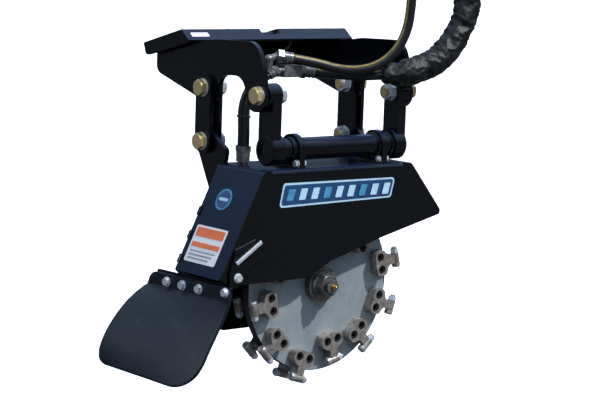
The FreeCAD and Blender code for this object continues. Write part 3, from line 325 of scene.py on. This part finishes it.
def plainFinish(name, colour, rough, metal=0.0, coat=0.0, speck=0.12):
    f = Finish(name)
    cloud = f.grain(70, 4.0)
    darker = tuple(c * (1 - speck) for c in colour)
    lighter = tuple(min(1, c * (1 + speck)) for c in colour)
    shade = f.ramp(cloud, [(0.3, darker), (0.7, lighter)])
    worn = f.between(cloud, 0.3, 0.7, rough * 0.85, rough * 1.15)
    return f.surface(colour=shade, rough=worn, metal=metal, coat=coat,
                     normal=f.bump(f.grain(380, 2.0), 0.0001, 0.4))


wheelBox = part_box("cutter_disc")
wheelCentre = [(wheelBox[0][i] + wheelBox[1][i]) / 2 for i in range(3)]
finishes = {
    "paint": glossPaint(),
    "chute": deepPaint(),
    "yellow": platedSteel("yellowZinc", (0.68, 0.53, 0.24), (0.74, 0.47, 0.30), (0.52, 0.47, 0.17)),
    "silver": platedSteel("brightZinc", (0.74, 0.78, 0.82), (0.66, 0.72, 0.80), (0.45, 0.47, 0.50)),
    "weld": plainFinish("paintedWeld", (0.006, 0.007, 0.010), 0.22, speck=0.3),
    "disc": discSteel(wheelCentre),
    "forged": forgedSteel(),
    "carbide": carbideSteel(),
    "hose": hoseCover(True),
    "jumper": hoseCover(False),
    "sleeve": wovenSleeve(),
    "flap": flapRubber(),
    "hub": platedSteel("turnedHub", (0.15, 0.145, 0.14), (0.24, 0.235, 0.225), (0.07, 0.068, 0.066)),
    "fitting": platedSteel("oiledFitting", (0.15, 0.15, 0.155), (0.27, 0.27, 0.28), (0.06, 0.06, 0.062)),
    # painted highlight: a pale metal finish for the arm's bright edge
    "highlightPaint": plainFinish("paintedHighlightEdge", (0.62, 0.65, 0.70), 0.25, 0.55),
    "screw": plainFinish("blackOxideScrew", (0.022, 0.021, 0.020), 0.42, 0.6),
    "brass": plainFinish("brassFitting", (0.62, 0.42, 0.16), 0.28, 1.0),
    "motor": plainFinish("motorPaint", (0.016, 0.017, 0.019), 0.4, coat=0.2),
    "tie": plainFinish("tiePlastic", (0.012, 0.012, 0.013), 0.35),
    "labelWhite": plainFinish("labelWhite", (0.80, 0.80, 0.79), 0.4, coat=0.3, speck=0.03),
    "labelOrange": plainFinish("labelOrange", (0.80, 0.16, 0.03), 0.4, coat=0.3, speck=0.05),
    "labelGrey": plainFinish("labelGrey", (0.30, 0.31, 0.33), 0.4, coat=0.3, speck=0.05),
    "panelPale": plainFinish("panelPale", (0.42, 0.62, 0.76), 0.32, coat=0.4, speck=0.08),
    "panelDeep": plainFinish("panelDeep", (0.008, 0.05, 0.14), 0.3, coat=0.4, speck=0.2),
    "panelMid": plainFinish("panelMid", (0.06, 0.24, 0.42), 0.3, coat=0.4, speck=0.15),
}

slotFinish = {
    "black_paint": "paint", "yellow_zinc": "yellow", "silver_zinc": "silver", "manifold_steel": "fitting",
    "hose_rubber": "jumper", "sleeve_fabric": "sleeve", "bush_bronze": "brass", "flap_rubber": "flap",
    "motor_paint": "motor", "bearing_steel": "hub", "disc_steel": "disc", "holder_steel": "forged",
    "tooth_carbide": "carbide",
}
ownFinish = {"chute_plate": "chute", "tooth_nuts": "silver", "holder_screws": "screw", "hub_nut": "hub",
             "hose_couplers": "silver", "drive_shaft": "hub", "ear_bushes": "hub", "front_bushes": "hub",
             "jumper_roof_fittings": "fitting",
             "manifold_fittings": "fitting"}
for part in frame["record"]["subparts"]:
    node = nodes[part["node"]]
    finish = finishes[ownFinish.get(part["node"], slotFinish[part["material_slot"]])]
    node.data.materials.clear()
    node.data.materials.append(finish)
print("finishes on the frame's nodes")


def meshPiece(name, mesh, finishNames, body):
    piece = bpy.data.objects.new(name, mesh)
    scene.collection.objects.link(piece)
    for finish in finishNames:
        mesh.materials.append(finishes[finish])
    if body:
        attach(piece, body)
    return piece


def evaluatedMesh(thing):
    bpy.context.view_layer.update()
    return bpy.data.meshes.new_from_object(thing.evaluated_get(bpy.context.evaluated_depsgraph_get()))


def routePoints(name, points, resolution=12):
    curve = bpy.data.curves.new(name + "Route", "CURVE")
    curve.dimensions = "3D"
    curve.resolution_u = resolution
    spline = curve.splines.new("NURBS")
    spline.points.add(len(points) - 1)
    for point, place in zip(spline.points, points):
        point.co = (*place, 1)
    spline.order_u = 3
    spline.use_endpoint_u = True
    holder = bpy.data.objects.new(name + "Route", curve)
    scene.collection.objects.link(holder)
    mesh = evaluatedMesh(holder)
    line = [v.co.copy() for v in mesh.vertices]
    bpy.data.meshes.remove(mesh)
    bpy.data.objects.remove(holder)
    bpy.data.curves.remove(curve)
    return line


def runLengths(line):
    lengths = [0.0]
    for before, after in zip(line, line[1:]):
        lengths.append(lengths[-1] + (after - before).length)
    return lengths


def onLine(line, lengths, want):
    i = 0
    while i < len(lengths) - 2 and lengths[i + 1] < want:
        i += 1
    share = (want - lengths[i]) / (lengths[i + 1] - lengths[i])
    return line[i].lerp(line[i + 1], min(1.0, max(0.0, share)))


def evenLine(line, step, start=0.0, stop=None):
    lengths = runLengths(line)
    stop = lengths[-1] if stop is None else stop
    count = max(2, round((stop - start) / step))
    return [onLine(line, lengths, start + (stop - start) * k / count) for k in range(count + 1)]


def tubeMesh(name, line, radiusAt, sides, lead=Vector((0, 0, 1))):
    # rings carried along the line without twist; "along" holds turn and length for stripes and weave
    mesh = bpy.data.meshes.new(name)
    form = bmesh.new()
    uv = form.loops.layers.uv.new("along")
    lengths = runLengths(line)
    rings, side = [], None
    for i, place in enumerate(line):
        run = (line[min(i + 1, len(line) - 1)] - line[max(i - 1, 0)]).normalized()
        side = lead if side is None else side
        side = (side - run * side.dot(run)).normalized()
        across = run.cross(side)
        ring = []
        for k in range(sides):
            angle = 2 * math.pi * k / sides
            reach = radiusAt(lengths[i], angle)
            spoke = side * math.cos(angle) + across * math.sin(angle)
            ring.append(form.verts.new(place + spoke * reach))
        rings.append(ring)
    for i in range(len(rings) - 1):
        for k in range(sides):
            n = (k + 1) % sides
            face = form.faces.new((rings[i][k], rings[i][n], rings[i + 1][n], rings[i + 1][k]))
            for loop, (turn, at) in zip(face.loops, ((k, i), (k + 1, i), (k + 1, i + 1), (k, i + 1))):
                loop[uv].uv = (turn / sides, lengths[at])
            face.smooth = True
    form.faces.new(list(reversed(rings[0])))
    form.faces.new(rings[-1])
    bmesh.ops.recalc_face_normals(form, faces=form.faces)
    form.to_mesh(mesh)
    form.free()
    return mesh


hoses = {
    "diameter": 0.024,
    "routeA": [(-0.089, -0.220, -0.058), (-0.038, -0.242, -0.066), (0.023, -0.279, -0.085),
               (0.073, -0.315, -0.080), (0.114, -0.341, -0.054), (0.148, -0.355, -0.007),
               (0.164, -0.360, 0.057), (0.164, -0.360, 0.130)],
    "routeB": [(-0.012, -0.217, -0.093), (0.060, -0.275, -0.099), (0.130, -0.335, -0.092),
               (0.215, -0.354, -0.080), (0.290, -0.358, -0.038), (0.338, -0.358, 0.028),
               (0.358, -0.358, 0.100), (0.358, -0.358, 0.180)],
    "facing": (0.2, 0.6, -0.75),
    "sides": 28,
    "step": 0.006,
}


def hosePiece(name, route, node):
    line = evenLine(routePoints(name, route), hoses["step"])
    radius = hoses["diameter"] / 2
    mesh = tubeMesh(name, line, lambda along, angle: radius, hoses["sides"], Vector(hoses["facing"]))
    piece = meshPiece(name, mesh, ["hose"], "mount_frame")
    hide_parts(node)
    return piece, line


hoseA, lineA = hosePiece("pressureHose", hoses["routeA"], "hose_a")
hoseB, lineB = hosePiece("returnHose", hoses["routeB"], "hose_b")

# the woven sleeve is gathered at both ends and slimmest where it starts, part of the way along its hose
sleeveLook = {
    "radius": 0.033, "start": 0.160, "slim": 0.010, "slimRun": 0.060, "tail": 0.018, "cuff": 0.014,
    "wander": 0.003, "fold": 0.0060, "lift": 0.0022, "grip": 0.001, "tucked": 0.35,
    "step": 0.004, "sides": 72,
}


def sleeveMesh():
    stop = runLengths(lineB)[-1] - sleeveLook["tail"]
    line = evenLine(lineB, sleeveLook["step"], sleeveLook["start"], stop)
    total = runLengths(line)[-1]

    def reach(along, angle):
        around = Vector((math.cos(angle), math.sin(angle), 0))
        drift = noise.noise(around * 0.7 + Vector((0, 0, along * 14)))
        folds = abs(noise.noise(around * 1.1 + Vector((4, 2, along * 46 + drift * 1.4))))
        creases = abs(noise.noise(around * 2.2 + Vector((9, 1, along * 95))))
        edge = min(along, total - along) / sleeveLook["cuff"]
        fullness = 1.0 if edge >= 1 else math.sin(max(0.0, edge) * math.pi / 2) ** 0.7
        full = sleeveLook["radius"] + sleeveLook["wander"] * drift + sleeveLook["lift"]
        full -= sleeveLook["fold"] * (1.6 * folds + 0.7 * creases)
        full -= sleeveLook["slim"] * max(0.0, 1 - along / sleeveLook["slimRun"])
        least = hoses["diameter"] / 2 + sleeveLook["grip"]
        tucked = sleeveLook["tucked"]
        return least + (full - least) * (tucked + (1 - tucked) * fullness)

    return tubeMesh("hoseSleeve", line, reach, sleeveLook["sides"])


sleeve = meshPiece("hoseSleeve", sleeveMesh(), ["sleeve"], "mount_frame")
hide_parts("hose_sleeve")


def declareHose(line):
    runLengths(line)[-1]


declareHose(lineA)
declareHose(lineB)

# two short hoses drop from the manifold to the hood, each laid in two halves
jumperLook = {
    "radius": 0.0085, "tie": 0.62, "overlap": 0.002, "step": 0.005, "sides": 20,
    "route": [(-0.152, -0.214, -0.098), (-0.188, -0.206, -0.118), (-0.206, -0.196, -0.170),
              (-0.206, -0.200, -0.225), (-0.206, -0.200, -0.267)],
    "spread": [1.16, 1, 1, 1, 1],
}
jumperShifts = {
    "pressureJumper": ("jumper_hose_pressure", 0.0),
    "returnJumper": ("jumper_hose_return", 0.019),
}


def jumperRoute(shift):
    shares = zip(jumperLook["route"], jumperLook["spread"])
    return [(x, y + shift * share, z) for (x, y, z), share in shares]


tiePlaces = []
for name, (node, shift) in jumperShifts.items():
    whole = routePoints(name, jumperRoute(shift))
    total = runLengths(whole)[-1]
    split = total * jumperLook["tie"]
    upperLine = evenLine(whole, jumperLook["step"], 0, split + jumperLook["overlap"])
    lowerLine = evenLine(whole, jumperLook["step"], split - jumperLook["overlap"], total)
    halves = (("Upper", upperLine, "mount_frame", "front_links"), ("Lower", lowerLine, "front_links", "hood"))
    for half, line, before, after in halves:
        mesh = tubeMesh(name + half, line, lambda along, angle: jumperLook["radius"], jumperLook["sides"])
        piece = meshPiece(name + half, mesh, ["jumper"], None)
        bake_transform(piece)
        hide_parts(node)
    tiePlaces.append(upperLine[-1])
print("hoses laid:", round(runLengths(lineA)[-1], 3), round(runLengths(lineB)[-1], 3))


flapLook = {
    "turn": 4.34, "hinge": (-0.366, -0.205, -0.609), "width": 0.292, "gauge": 0.010, "root": 0.035,
    "far": [(0, 0), (-0.044, -0.019), (-0.099, -0.072), (-0.139, -0.134), (-0.146, -0.176)],
    "near": [(0, 0), (-0.009, -0.026), (-0.032, -0.064), (-0.062, -0.118), (-0.104, -0.203)],
    "nearRound": 0.075, "farRound": 0.030, "topNearRound": 0.020, "topFarRound": 0.032,
    "columns": 60, "rows": 44, "ripple": 0.0014, "rippleWay": (-0.5, 0, 0.85),
    "bendFrom": (0, 0, 0.006), "bendTo": (-0.02, 0, -0.04), "edge": 0.0016,
}


def edgeSpline(points):
    line = routePoints("flapEdge", [(x, 0, z) for x, z in points], 24)
    return line, runLengths(line)


def cornerCut(distance, radius):
    gap = max(0.0, radius - distance)
    return radius - math.sqrt(max(0.0, radius ** 2 - gap ** 2))


def flapMesh():
    turn = math.radians(flapLook["turn"])
    across = Vector((-math.sin(turn), math.cos(turn), 0))
    hinge, width = Vector(flapLook["hinge"]), flapLook["width"]
    farLine, farLengths = edgeSpline(flapLook["far"])
    nearLine, nearLengths = edgeSpline(flapLook["near"])
    mesh = bpy.data.meshes.new("rubberFlap")
    form = bmesh.new()
    grid = []
    for c in range(flapLook["columns"] + 1):
        share = c / flapLook["columns"]
        fromNear, fromFar = (1 - share) * width, share * width
        length = farLengths[-1] * (1 - share) + nearLengths[-1] * share
        cut = max(cornerCut(fromNear, flapLook["nearRound"]), cornerCut(fromFar, flapLook["farRound"]))
        top = flapLook["root"] - max(cornerCut(fromNear, flapLook["topNearRound"]),
                                     cornerCut(fromFar, flapLook["topFarRound"]))
        base = hinge + across * (width / 2 - share * width)
        column = []
        for r in range(flapLook["rows"] + 1):
            down = r / flapLook["rows"]
            at = -top + down * (top + length - cut)
            if at < 0:
                place = base + Vector((0, 0, -at))
            else:
                part = at / length
                a = onLine(farLine, farLengths, part * farLengths[-1])
                b = onLine(nearLine, nearLengths, part * nearLengths[-1])
                place = base + a.lerp(b, share)
                wave = noise.noise(Vector((share * 3.1, part * 2.3, 0.4)))
                place += Vector(flapLook["rippleWay"]) * flapLook["ripple"] * wave * min(1.0, part * 4)
            column.append(form.verts.new(place))
        grid.append(column)
    for c in range(flapLook["columns"]):
        for r in range(flapLook["rows"]):
            corners = (grid[c][r], grid[c + 1][r], grid[c + 1][r + 1], grid[c][r + 1])
            form.faces.new(corners).smooth = True
    bmesh.ops.recalc_face_normals(form, faces=form.faces)
    form.to_mesh(mesh)
    form.free()
    return mesh


def applyModifiers(piece):
    # the finished stack is made real, so that the piece is a plain mesh again
    mesh = evaluatedMesh(piece)
    piece.modifiers.clear()
    piece.data = mesh


def withModifiers(piece, modifiers):
    for kind, settings in modifiers:
        modifier = piece.modifiers.new(kind.title(), kind)
        for key, value in settings.items():
            setattr(modifier, key, value)
    applyModifiers(piece)


flap = meshPiece("rubberFlap", flapMesh(), ["flap"], None)
withModifiers(flap, [
    ("SOLIDIFY", {"thickness": flapLook["gauge"], "offset": 0.0}),
    ("BEVEL", {"width": flapLook["edge"], "segments": 2, "limit_method": "ANGLE",
               "angle_limit": math.radians(50)}),
])
for polygon in flap.data.polygons:
    polygon.use_smooth = True
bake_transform(flap)
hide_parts("flap_panel", "flap_root")
print("flap hung")


# one small lens repeated along each seam makes a weld
def beadTree():
    tree = bpy.data.node_groups.new("beadsAlongLine", "GeometryNodeTree")
    wanted = (("Geometry", "NodeSocketGeometry"), ("Pitch", "NodeSocketFloat"), ("Radius", "NodeSocketFloat"),
              ("Finish", "NodeSocketMaterial"))
    for label, kind in wanted:
        tree.interface.new_socket(name=label, in_out="INPUT", socket_type=kind)
    tree.interface.new_socket(name="Geometry", in_out="OUTPUT", socket_type="NodeSocketGeometry")
    start, end = tree.nodes.new("NodeGroupInput"), tree.nodes.new("NodeGroupOutput")
    curve = tree.nodes.new("GeometryNodeMeshToCurve")
    spaced = tree.nodes.new("GeometryNodeCurveToPoints")
    spaced.mode = "LENGTH"
    bead = tree.nodes.new("GeometryNodeMeshIcoSphere")
    bead.inputs["Subdivisions"].default_value = 2
    placed = tree.nodes.new("GeometryNodeInstanceOnPoints")
    placed.inputs["Scale"].default_value = (1.0, 1.0, 0.62)
    real = tree.nodes.new("GeometryNodeRealizeInstances")
    smooth = tree.nodes.new("GeometryNodeSetShadeSmooth")
    painted = tree.nodes.new("GeometryNodeSetMaterial")
    links = tree.links
    links.new(start.outputs["Geometry"], curve.inputs["Mesh"])
    links.new(curve.outputs["Curve"], spaced.inputs["Curve"])
    links.new(start.outputs["Pitch"], spaced.inputs["Length"])
    links.new(start.outputs["Radius"], bead.inputs["Radius"])
    links.new(spaced.outputs["Points"], placed.inputs["Points"])
    links.new(spaced.outputs["Rotation"], placed.inputs["Rotation"])
    links.new(bead.outputs["Mesh"], placed.inputs["Instance"])
    links.new(placed.outputs["Instances"], real.inputs["Geometry"])
    links.new(real.outputs["Geometry"], smooth.inputs["Geometry"])
    links.new(smooth.outputs["Geometry"], painted.inputs["Geometry"])
    links.new(start.outputs["Finish"], painted.inputs["Material"])
    links.new(painted.outputs["Geometry"], end.inputs["Geometry"])
    return tree


beads = beadTree()


def weldSeam(name, seams, look, body):
    mesh = bpy.data.meshes.new(name)
    places, edges = [], []
    for seam in seams:
        first = len(places)
        places += seam
        edges += [(i, i + 1) for i in range(first, len(places) - 1)]
    mesh.from_pydata(places, edges, [])
    piece = bpy.data.objects.new(name, mesh)
    scene.collection.objects.link(piece)
    modifier = piece.modifiers.new("Beads", "NODES")
    modifier.node_group = beads
    values = {"Pitch": look["pitch"], "Radius": look["radius"], "Finish": finishes["weld"]}
    for item in beads.interface.items_tree:
        if item.in_out == "INPUT" and item.name in values:
            modifier[item.identifier] = values[item.name]
    applyModifiers(piece)
    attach(piece, body)


welds = {
    "ear": {"radius": 0.0042, "pitch": 0.0035, "ends": (-0.320, -0.230), "lift": 0.001},
    "cheek": {"radius": 0.0040, "pitch": 0.0035, "ends": (0.006, 0.128), "slope": 15, "drop": 0.0095},
    "arm": {"radius": 0.0045, "pitch": 0.0035,
            "line": [(-0.326, -0.4915), (-0.300, -0.4825), (-0.274, -0.4730)]},
    "collar": {"radius": 0.0038, "pitch": 0.0034, "steps": 24},
}


def earSeams():
    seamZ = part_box("roof_plate")[1][2] + welds["ear"]["lift"]
    sides = [side[0] for ear in ("ear_left", "ear_right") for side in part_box(ear)]
    return [[(x, y, seamZ) for y in welds["ear"]["ends"]] for x in sides]


def cheekSeams():
    slope, drop = math.tan(math.radians(welds["cheek"]["slope"])), welds["cheek"]["drop"]
    sides = [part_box("cheek_left")[0][0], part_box("cheek_right")[1][0]]
    return [[(x, y, -y * slope - drop) for y in welds["cheek"]["ends"]] for x in sides]


def armSeams():
    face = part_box("front_side_plate")[0][1]
    return [[(x, face, z) for x, z in welds["arm"]["line"]]]


def collarSeams():
    low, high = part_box("torsion_tube")
    y, z, radius = (low[1] + high[1]) / 2, (low[2] + high[2]) / 2, (high[2] - low[2]) / 2
    steps = welds["collar"]["steps"]
    turns = [2 * math.pi * k / steps for k in range(steps + 1)]
    sides = [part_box("front_link_left")[1][0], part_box("front_link_right")[0][0]]
    return [[(x, y + radius * math.cos(a), z + radius * math.sin(a)) for a in turns] for x in sides]


weldSeam("earWelds", earSeams(), welds["ear"], "hood")
weldSeam("cheekWelds", cheekSeams(), welds["cheek"], "mount_frame")
weldSeam("armWeld", armSeams(), welds["arm"], "hood")
weldSeam("collarWelds", collarSeams(), welds["collar"], "front_links")
print("seams welded")


def blockMesh(name, corners):
    # corners: bottom ring then top ring, four each
    mesh = bpy.data.meshes.new(name)
    faces = [(0, 3, 2, 1), (4, 5, 6, 7), (0, 1, 5, 4), (1, 2, 6, 5), (2, 3, 7, 6), (3, 0, 4, 7)]
    places, sides = [], []
    for ring in corners:
        first = len(places)
        places += [tuple(c) for c in ring]
        sides += [tuple(first + i for i in face) for face in faces]
    mesh.from_pydata(places, [], sides)
    mesh.update()
    return mesh


# the chute's slope, from its foot to its head
chuteLine = {"low": Vector((-0.369, 0, -0.560)), "top": Vector((-0.247, 0, -0.311))}
chuteUp = (chuteLine["top"] - chuteLine["low"]).normalized()


def chutePoint(y, z):
    share = (z - chuteLine["low"].z) / (chuteLine["top"].z - chuteLine["low"].z)
    place = chuteLine["low"].lerp(chuteLine["top"], share)
    return Vector((place.x, y, place.z))


# short tabs that stitch the chute to the far side plate
tabLook = {
    "heights": (-0.423, -0.478, -0.534), "half": 0.011, "inward": -0.002, "outward": 0.0075,
    "under": -0.005, "over": 0.004, "edge": 0.0018,
}


def chuteTabs():
    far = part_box("chute_plate")[1][1]
    out = Vector((-chuteUp.z, 0, chuteUp.x))
    half, inward, outward = tabLook["half"], tabLook["inward"], tabLook["outward"]
    outline = ((-half, inward), (half, inward), (half, outward), (-half, outward))
    rings = []
    for z in tabLook["heights"]:
        middle = chutePoint(far, z)
        rings.append([middle + chuteUp * along + Vector((0, deep, 0)) + out * lift
                      for lift in (tabLook["under"], tabLook["over"]) for along, deep in outline])
    return meshPiece("chuteTabs", blockMesh("chuteTabs", rings), ["paint"], "hood")


# the turned-out edge of the arm that carries the flap's bar, in a pale metal finish that paints its highlight
flangeLook = {
    "foot": (-0.330, -0.522), "head": (-0.258, -0.475), "half": 0.0045, "out": 0.007, "edge": 0.0022,
}


def armFlange():
    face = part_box("carrier_arm")[0][1]
    foot, head = (Vector((x, face, z)) for x, z in (flangeLook["foot"], flangeLook["head"]))
    run = (head - foot).normalized()
    across = Vector((-run.z, 0, run.x)) * flangeLook["half"]
    ring = [place + across * side + Vector((0, lift, 0))
            for lift in (0.0, -flangeLook["out"])
            for place, side in ((foot, -1), (head, -1), (head, 1), (foot, 1))]
    return meshPiece("armFlange", blockMesh("armFlange", [ring]), ["highlightPaint"], "hood")


for piece, width, segments in ((armFlange(), flangeLook["edge"], 3), (chuteTabs(), tabLook["edge"], 2)):
    withModifiers(piece, [("BEVEL", {"width": width, "segments": segments, "limit_method": "NONE"})])

# the cable tie round the two short hoses
tieLook = {"loop": 0.0098, "steps": 48, "gauge": 0.0014, "half": 0.0024}


def hoseTie():
    first, second = tiePlaces
    middle = (first + second) / 2
    reach = (second - first).length / 2
    across = (second - first).normalized()
    side = across.cross(Vector((0, 0, 1))).normalized()
    loop = []
    for k in range(tieLook["steps"]):
        angle = 2 * math.pi * k / tieLook["steps"]
        offset = (across * math.cos(angle) + side * math.sin(angle)) * tieLook["loop"]
        loop.append(middle + offset + across * (reach if math.cos(angle) >= 0 else -reach))
    gauge, half = tieLook["gauge"], tieLook["half"]
    section = ((0, -half), (gauge, -half), (gauge, half), (0, half))
    form = bmesh.new()
    rings = []
    for place in loop:
        outward = (place - middle).normalized()
        rings.append([form.verts.new(place + outward * o + Vector((0, 0, z))) for o, z in section])
    for i, ring in enumerate(rings):
        following = rings[(i + 1) % len(rings)]
        for k in range(4):
            n = (k + 1) % 4
            form.faces.new((ring[k], following[k], following[n], ring[n]))
    bmesh.ops.recalc_face_normals(form, faces=form.faces)
    mesh = bpy.data.meshes.new("hoseTie")
    form.to_mesh(mesh)
    form.free()
    return meshPiece("hoseTie", mesh, ["tie"], "front_links")


hoseTie()
print("tabs, flange and tie on")


def roundedOutline(points, radius, steps=5):
    outline = []
    flat = [Vector(p) for p in points]
    for i, corner in enumerate(flat):
        before = (flat[i - 1] - corner).normalized()
        after = (flat[(i + 1) % len(flat)] - corner).normalized()
        half = before.angle(after) / 2
        reach = radius / math.tan(half)
        centre = corner + (before + after).normalized() * (radius / math.sin(half))
        first, last = corner + before * reach - centre, corner + after * reach - centre
        for k in range(steps + 1):
            outline.append(centre + first.lerp(last, k / steps).normalized() * radius)
    return outline


stickerLook = {"lift": 0.0002, "gauge": 0.00035}


# thin layered panels on a plane given by an origin and two directions
def sticker(name, origin, along, up, layers, body):
    origin, along, up = Vector(origin), Vector(along).normalized(), Vector(up).normalized()
    out = along.cross(up).normalized()
    names = []
    form = bmesh.new()
    for level, (points, radius, finish) in enumerate(layers):
        if finish not in names:
            names.append(finish)
        low = stickerLook["lift"] + stickerLook["gauge"] * level
        high = low + stickerLook["gauge"]
        outline = roundedOutline(points, radius)
        bottom = [form.verts.new(origin + along * p.x + up * p.y + out * low) for p in outline]
        top = [form.verts.new(origin + along * p.x + up * p.y + out * high) for p in outline]
        faces = [form.faces.new(top), form.faces.new(list(reversed(bottom)))]
        for k in range(len(top)):
            n = (k + 1) % len(top)
            faces.append(form.faces.new((bottom[k], bottom[n], top[n], top[k])))
        for face in faces:
            face.material_index = names.index(finish)
    bmesh.ops.recalc_face_normals(form, faces=form.faces)
    mesh = bpy.data.meshes.new(name)
    form.to_mesh(mesh)
    form.free()
    return meshPiece(name, mesh, names, body)


def rectangle(left, bottom, right, top):
    return [(left, bottom), (right, bottom), (right, top), (left, top)]


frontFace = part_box("front_side_plate")[0][1]
panelLook = {
    "left": -0.190, "right": 0.160, "low": -0.398, "high": -0.344, "slant": 0.012,
    "bars": 9, "firstBar": 0.016, "barPitch": 0.037,
}


def frontPanel():
    left, right, low, high, slant = (panelLook[k] for k in ("left", "right", "low", "high", "slant"))
    outer = [(left - slant, low - 0.002), (right - slant, low + 0.004), (right, high - 0.001),
             (left, high + 0.002)]
    inner = [(left - slant + 0.005, low + 0.003), (right - slant - 0.004, low + 0.008),
             (right - 0.005, high - 0.005), (left + 0.004, high - 0.003)]
    layers = [(outer, 0.008, "panelPale"), (inner, 0.006, "panelDeep")]
    for k in range(panelLook["bars"]):  # a plain run of slanted bars
        x = left + panelLook["firstBar"] + k * panelLook["barPitch"]
        bar = [(x - 0.007, low + 0.014), (x + 0.013, low + 0.014), (x + 0.021, high - 0.013),
               (x + 0.001, high - 0.013)]
        layers.append((bar, 0.002, "panelPale" if k % 3 else "panelMid"))
    return sticker("frontPanelBars", (0, frontFace, 0), (1, 0, 0), (0, 0, 1), layers, "hood")


frontPanel()

labelLayers = [
    (rectangle(-0.060, -0.046, 0.060, 0.046), 0.005, "labelWhite"),
    (rectangle(-0.054, 0.018, 0.054, 0.041), 0.003, "labelOrange"),
    (rectangle(-0.054, -0.008, 0.054, 0.004), 0.002, "labelOrange"),
]
for bottom, right in ((-0.020, 0.046), (-0.029, 0.040), (-0.038, 0.030)):
    labelLayers.append((rectangle(-0.050, bottom, right, bottom + 0.0035), 0.001, "labelGrey"))
sticker("chuteLabel", chutePoint(-0.228, -0.494), (0, -1, 0), chuteUp, labelLayers, "hood")
badgeLayers = [
    (rectangle(-0.028, -0.027, 0.028, 0.027), 0.026, "panelMid"),
    (rectangle(-0.023, -0.022, 0.023, 0.022), 0.021, "panelDeep"),
    (rectangle(-0.017, -0.004, 0.017, 0.004), 0.003, "panelPale"),
]
sticker("chuteBadge", chutePoint(-0.224, -0.388), (0, -1, 0), chuteUp, badgeLayers, "hood")
lipLook = {"slope": 37, "x": -0.216, "down": 0.021}
lipSlope = math.radians(lipLook["slope"])
lipDown = Vector((0, -math.cos(lipSlope), -math.sin(lipSlope)))
sticker("lipSticker", Vector((lipLook["x"], 0, 0)) + lipDown * lipLook["down"], (1, 0, 0), -lipDown,
        [(rectangle(-0.026, -0.007, 0.026, 0.007), 0.002, "labelWhite")], "mount_frame")
print("stickers on")

# the floor is pale to the eye and dim in reflections, so that the black paint keeps its depth
floorLook = {"drop": 0.60, "half": 120.0, "reflected": (0.07, 0.07, 0.07), "seen": (0.98, 0.98, 0.98),
             "rough": 0.9}


def addFloor():
    low = cadBox[0][2] - floorLook["drop"]
    mesh = bpy.data.meshes.new("floor")
    half = floorLook["half"]
    corners = [(-half, -half, low), (half, -half, low), (half, half, low), (-half, half, low)]
    mesh.from_pydata(corners, [], [(0, 1, 2, 3)])
    f = Finish("paleFloor")
    seen = f.node("ShaderNodeLightPath", {}, {}, "Is Camera Ray")
    colour = f.blend(seen, floorLook["reflected"], floorLook["seen"])
    mesh.materials.append(f.surface(colour=colour, rough=floorLook["rough"]))
    floor = bpy.data.objects.new("floor", mesh)
    scene.collection.objects.link(floor)


addFloor()
sunLook = {"travel": (-0.31, 0.51, -0.80), "strength": 4.2, "softness": 2.0}
sunData = bpy.data.lights.new("keySun", "SUN")
sunData.energy = sunLook["strength"]
sunData.angle = math.radians(sunLook["softness"])
sun = bpy.data.objects.new("keySun", sunData)
sun.rotation_euler = Vector(sunLook["travel"]).to_track_quat("-Z", "Y").to_euler()
scene.collection.objects.link(sun)
lights = {
    "frontStrip": {"place": (-2.2, -2.9, 2.6), "aim": (-0.1, -0.3, -0.4), "size": 0.9, "power": 26},
    "sideStrip": {"place": (-3.4, 0.4, 1.2), "aim": (-0.3, -0.2, -0.5), "size": 0.8, "power": 16},
}
for name, look in lights.items():
    data = bpy.data.lights.new(name, "AREA")
    data.shape = "RECTANGLE"
    data.size = look["size"]
    data.size_y = look["size"] / 2
    data.energy = look["power"]
    lamp = bpy.data.objects.new(name, data)
    lamp.location = look["place"]
    lamp.rotation_euler = (Vector(look["aim"]) - Vector(look["place"])).to_track_quat("-Z", "Y").to_euler()
    scene.collection.objects.link(lamp)


# a blue-white sky over dark surroundings, white where the camera looks straight at it
skyStops = [(0.0, (0.035, 0.036, 0.038)), (0.10, (0.05, 0.055, 0.062)), (0.26, (0.16, 0.24, 0.36)),
            (0.45, (0.42, 0.62, 0.95)), (1.0, (0.75, 0.85, 1.0))]


def addSky():
    world = bpy.data.worlds.new("paleSky")
    scene.world = world
    world.use_nodes = True
    tree = world.node_tree
    background = tree.nodes["Background"]
    place = tree.nodes.new("ShaderNodeTexCoord")
    split = tree.nodes.new("ShaderNodeSeparateXYZ")
    ramp = tree.nodes.new("ShaderNodeValToRGB")
    tree.links.new(place.outputs["Generated"], split.inputs[0])
    tree.links.new(split.outputs["Z"], ramp.inputs["Fac"])
    setStops(ramp.color_ramp, skyStops)
    path = tree.nodes.new("ShaderNodeLightPath")
    mix = tree.nodes.new("ShaderNodeMix")
    mix.data_type = "RGBA"
    tree.links.new(path.outputs["Is Camera Ray"], mix.inputs[0])
    tree.links.new(ramp.outputs["Color"], mix.inputs[6])
    mix.inputs[7].default_value = (1, 1, 1, 1)
    tree.links.new(mix.outputs[2], background.inputs["Color"])
    background.inputs["Strength"].default_value = 1.0


addSky()
scene.view_settings.view_transform = "Standard"
print("stage lit")
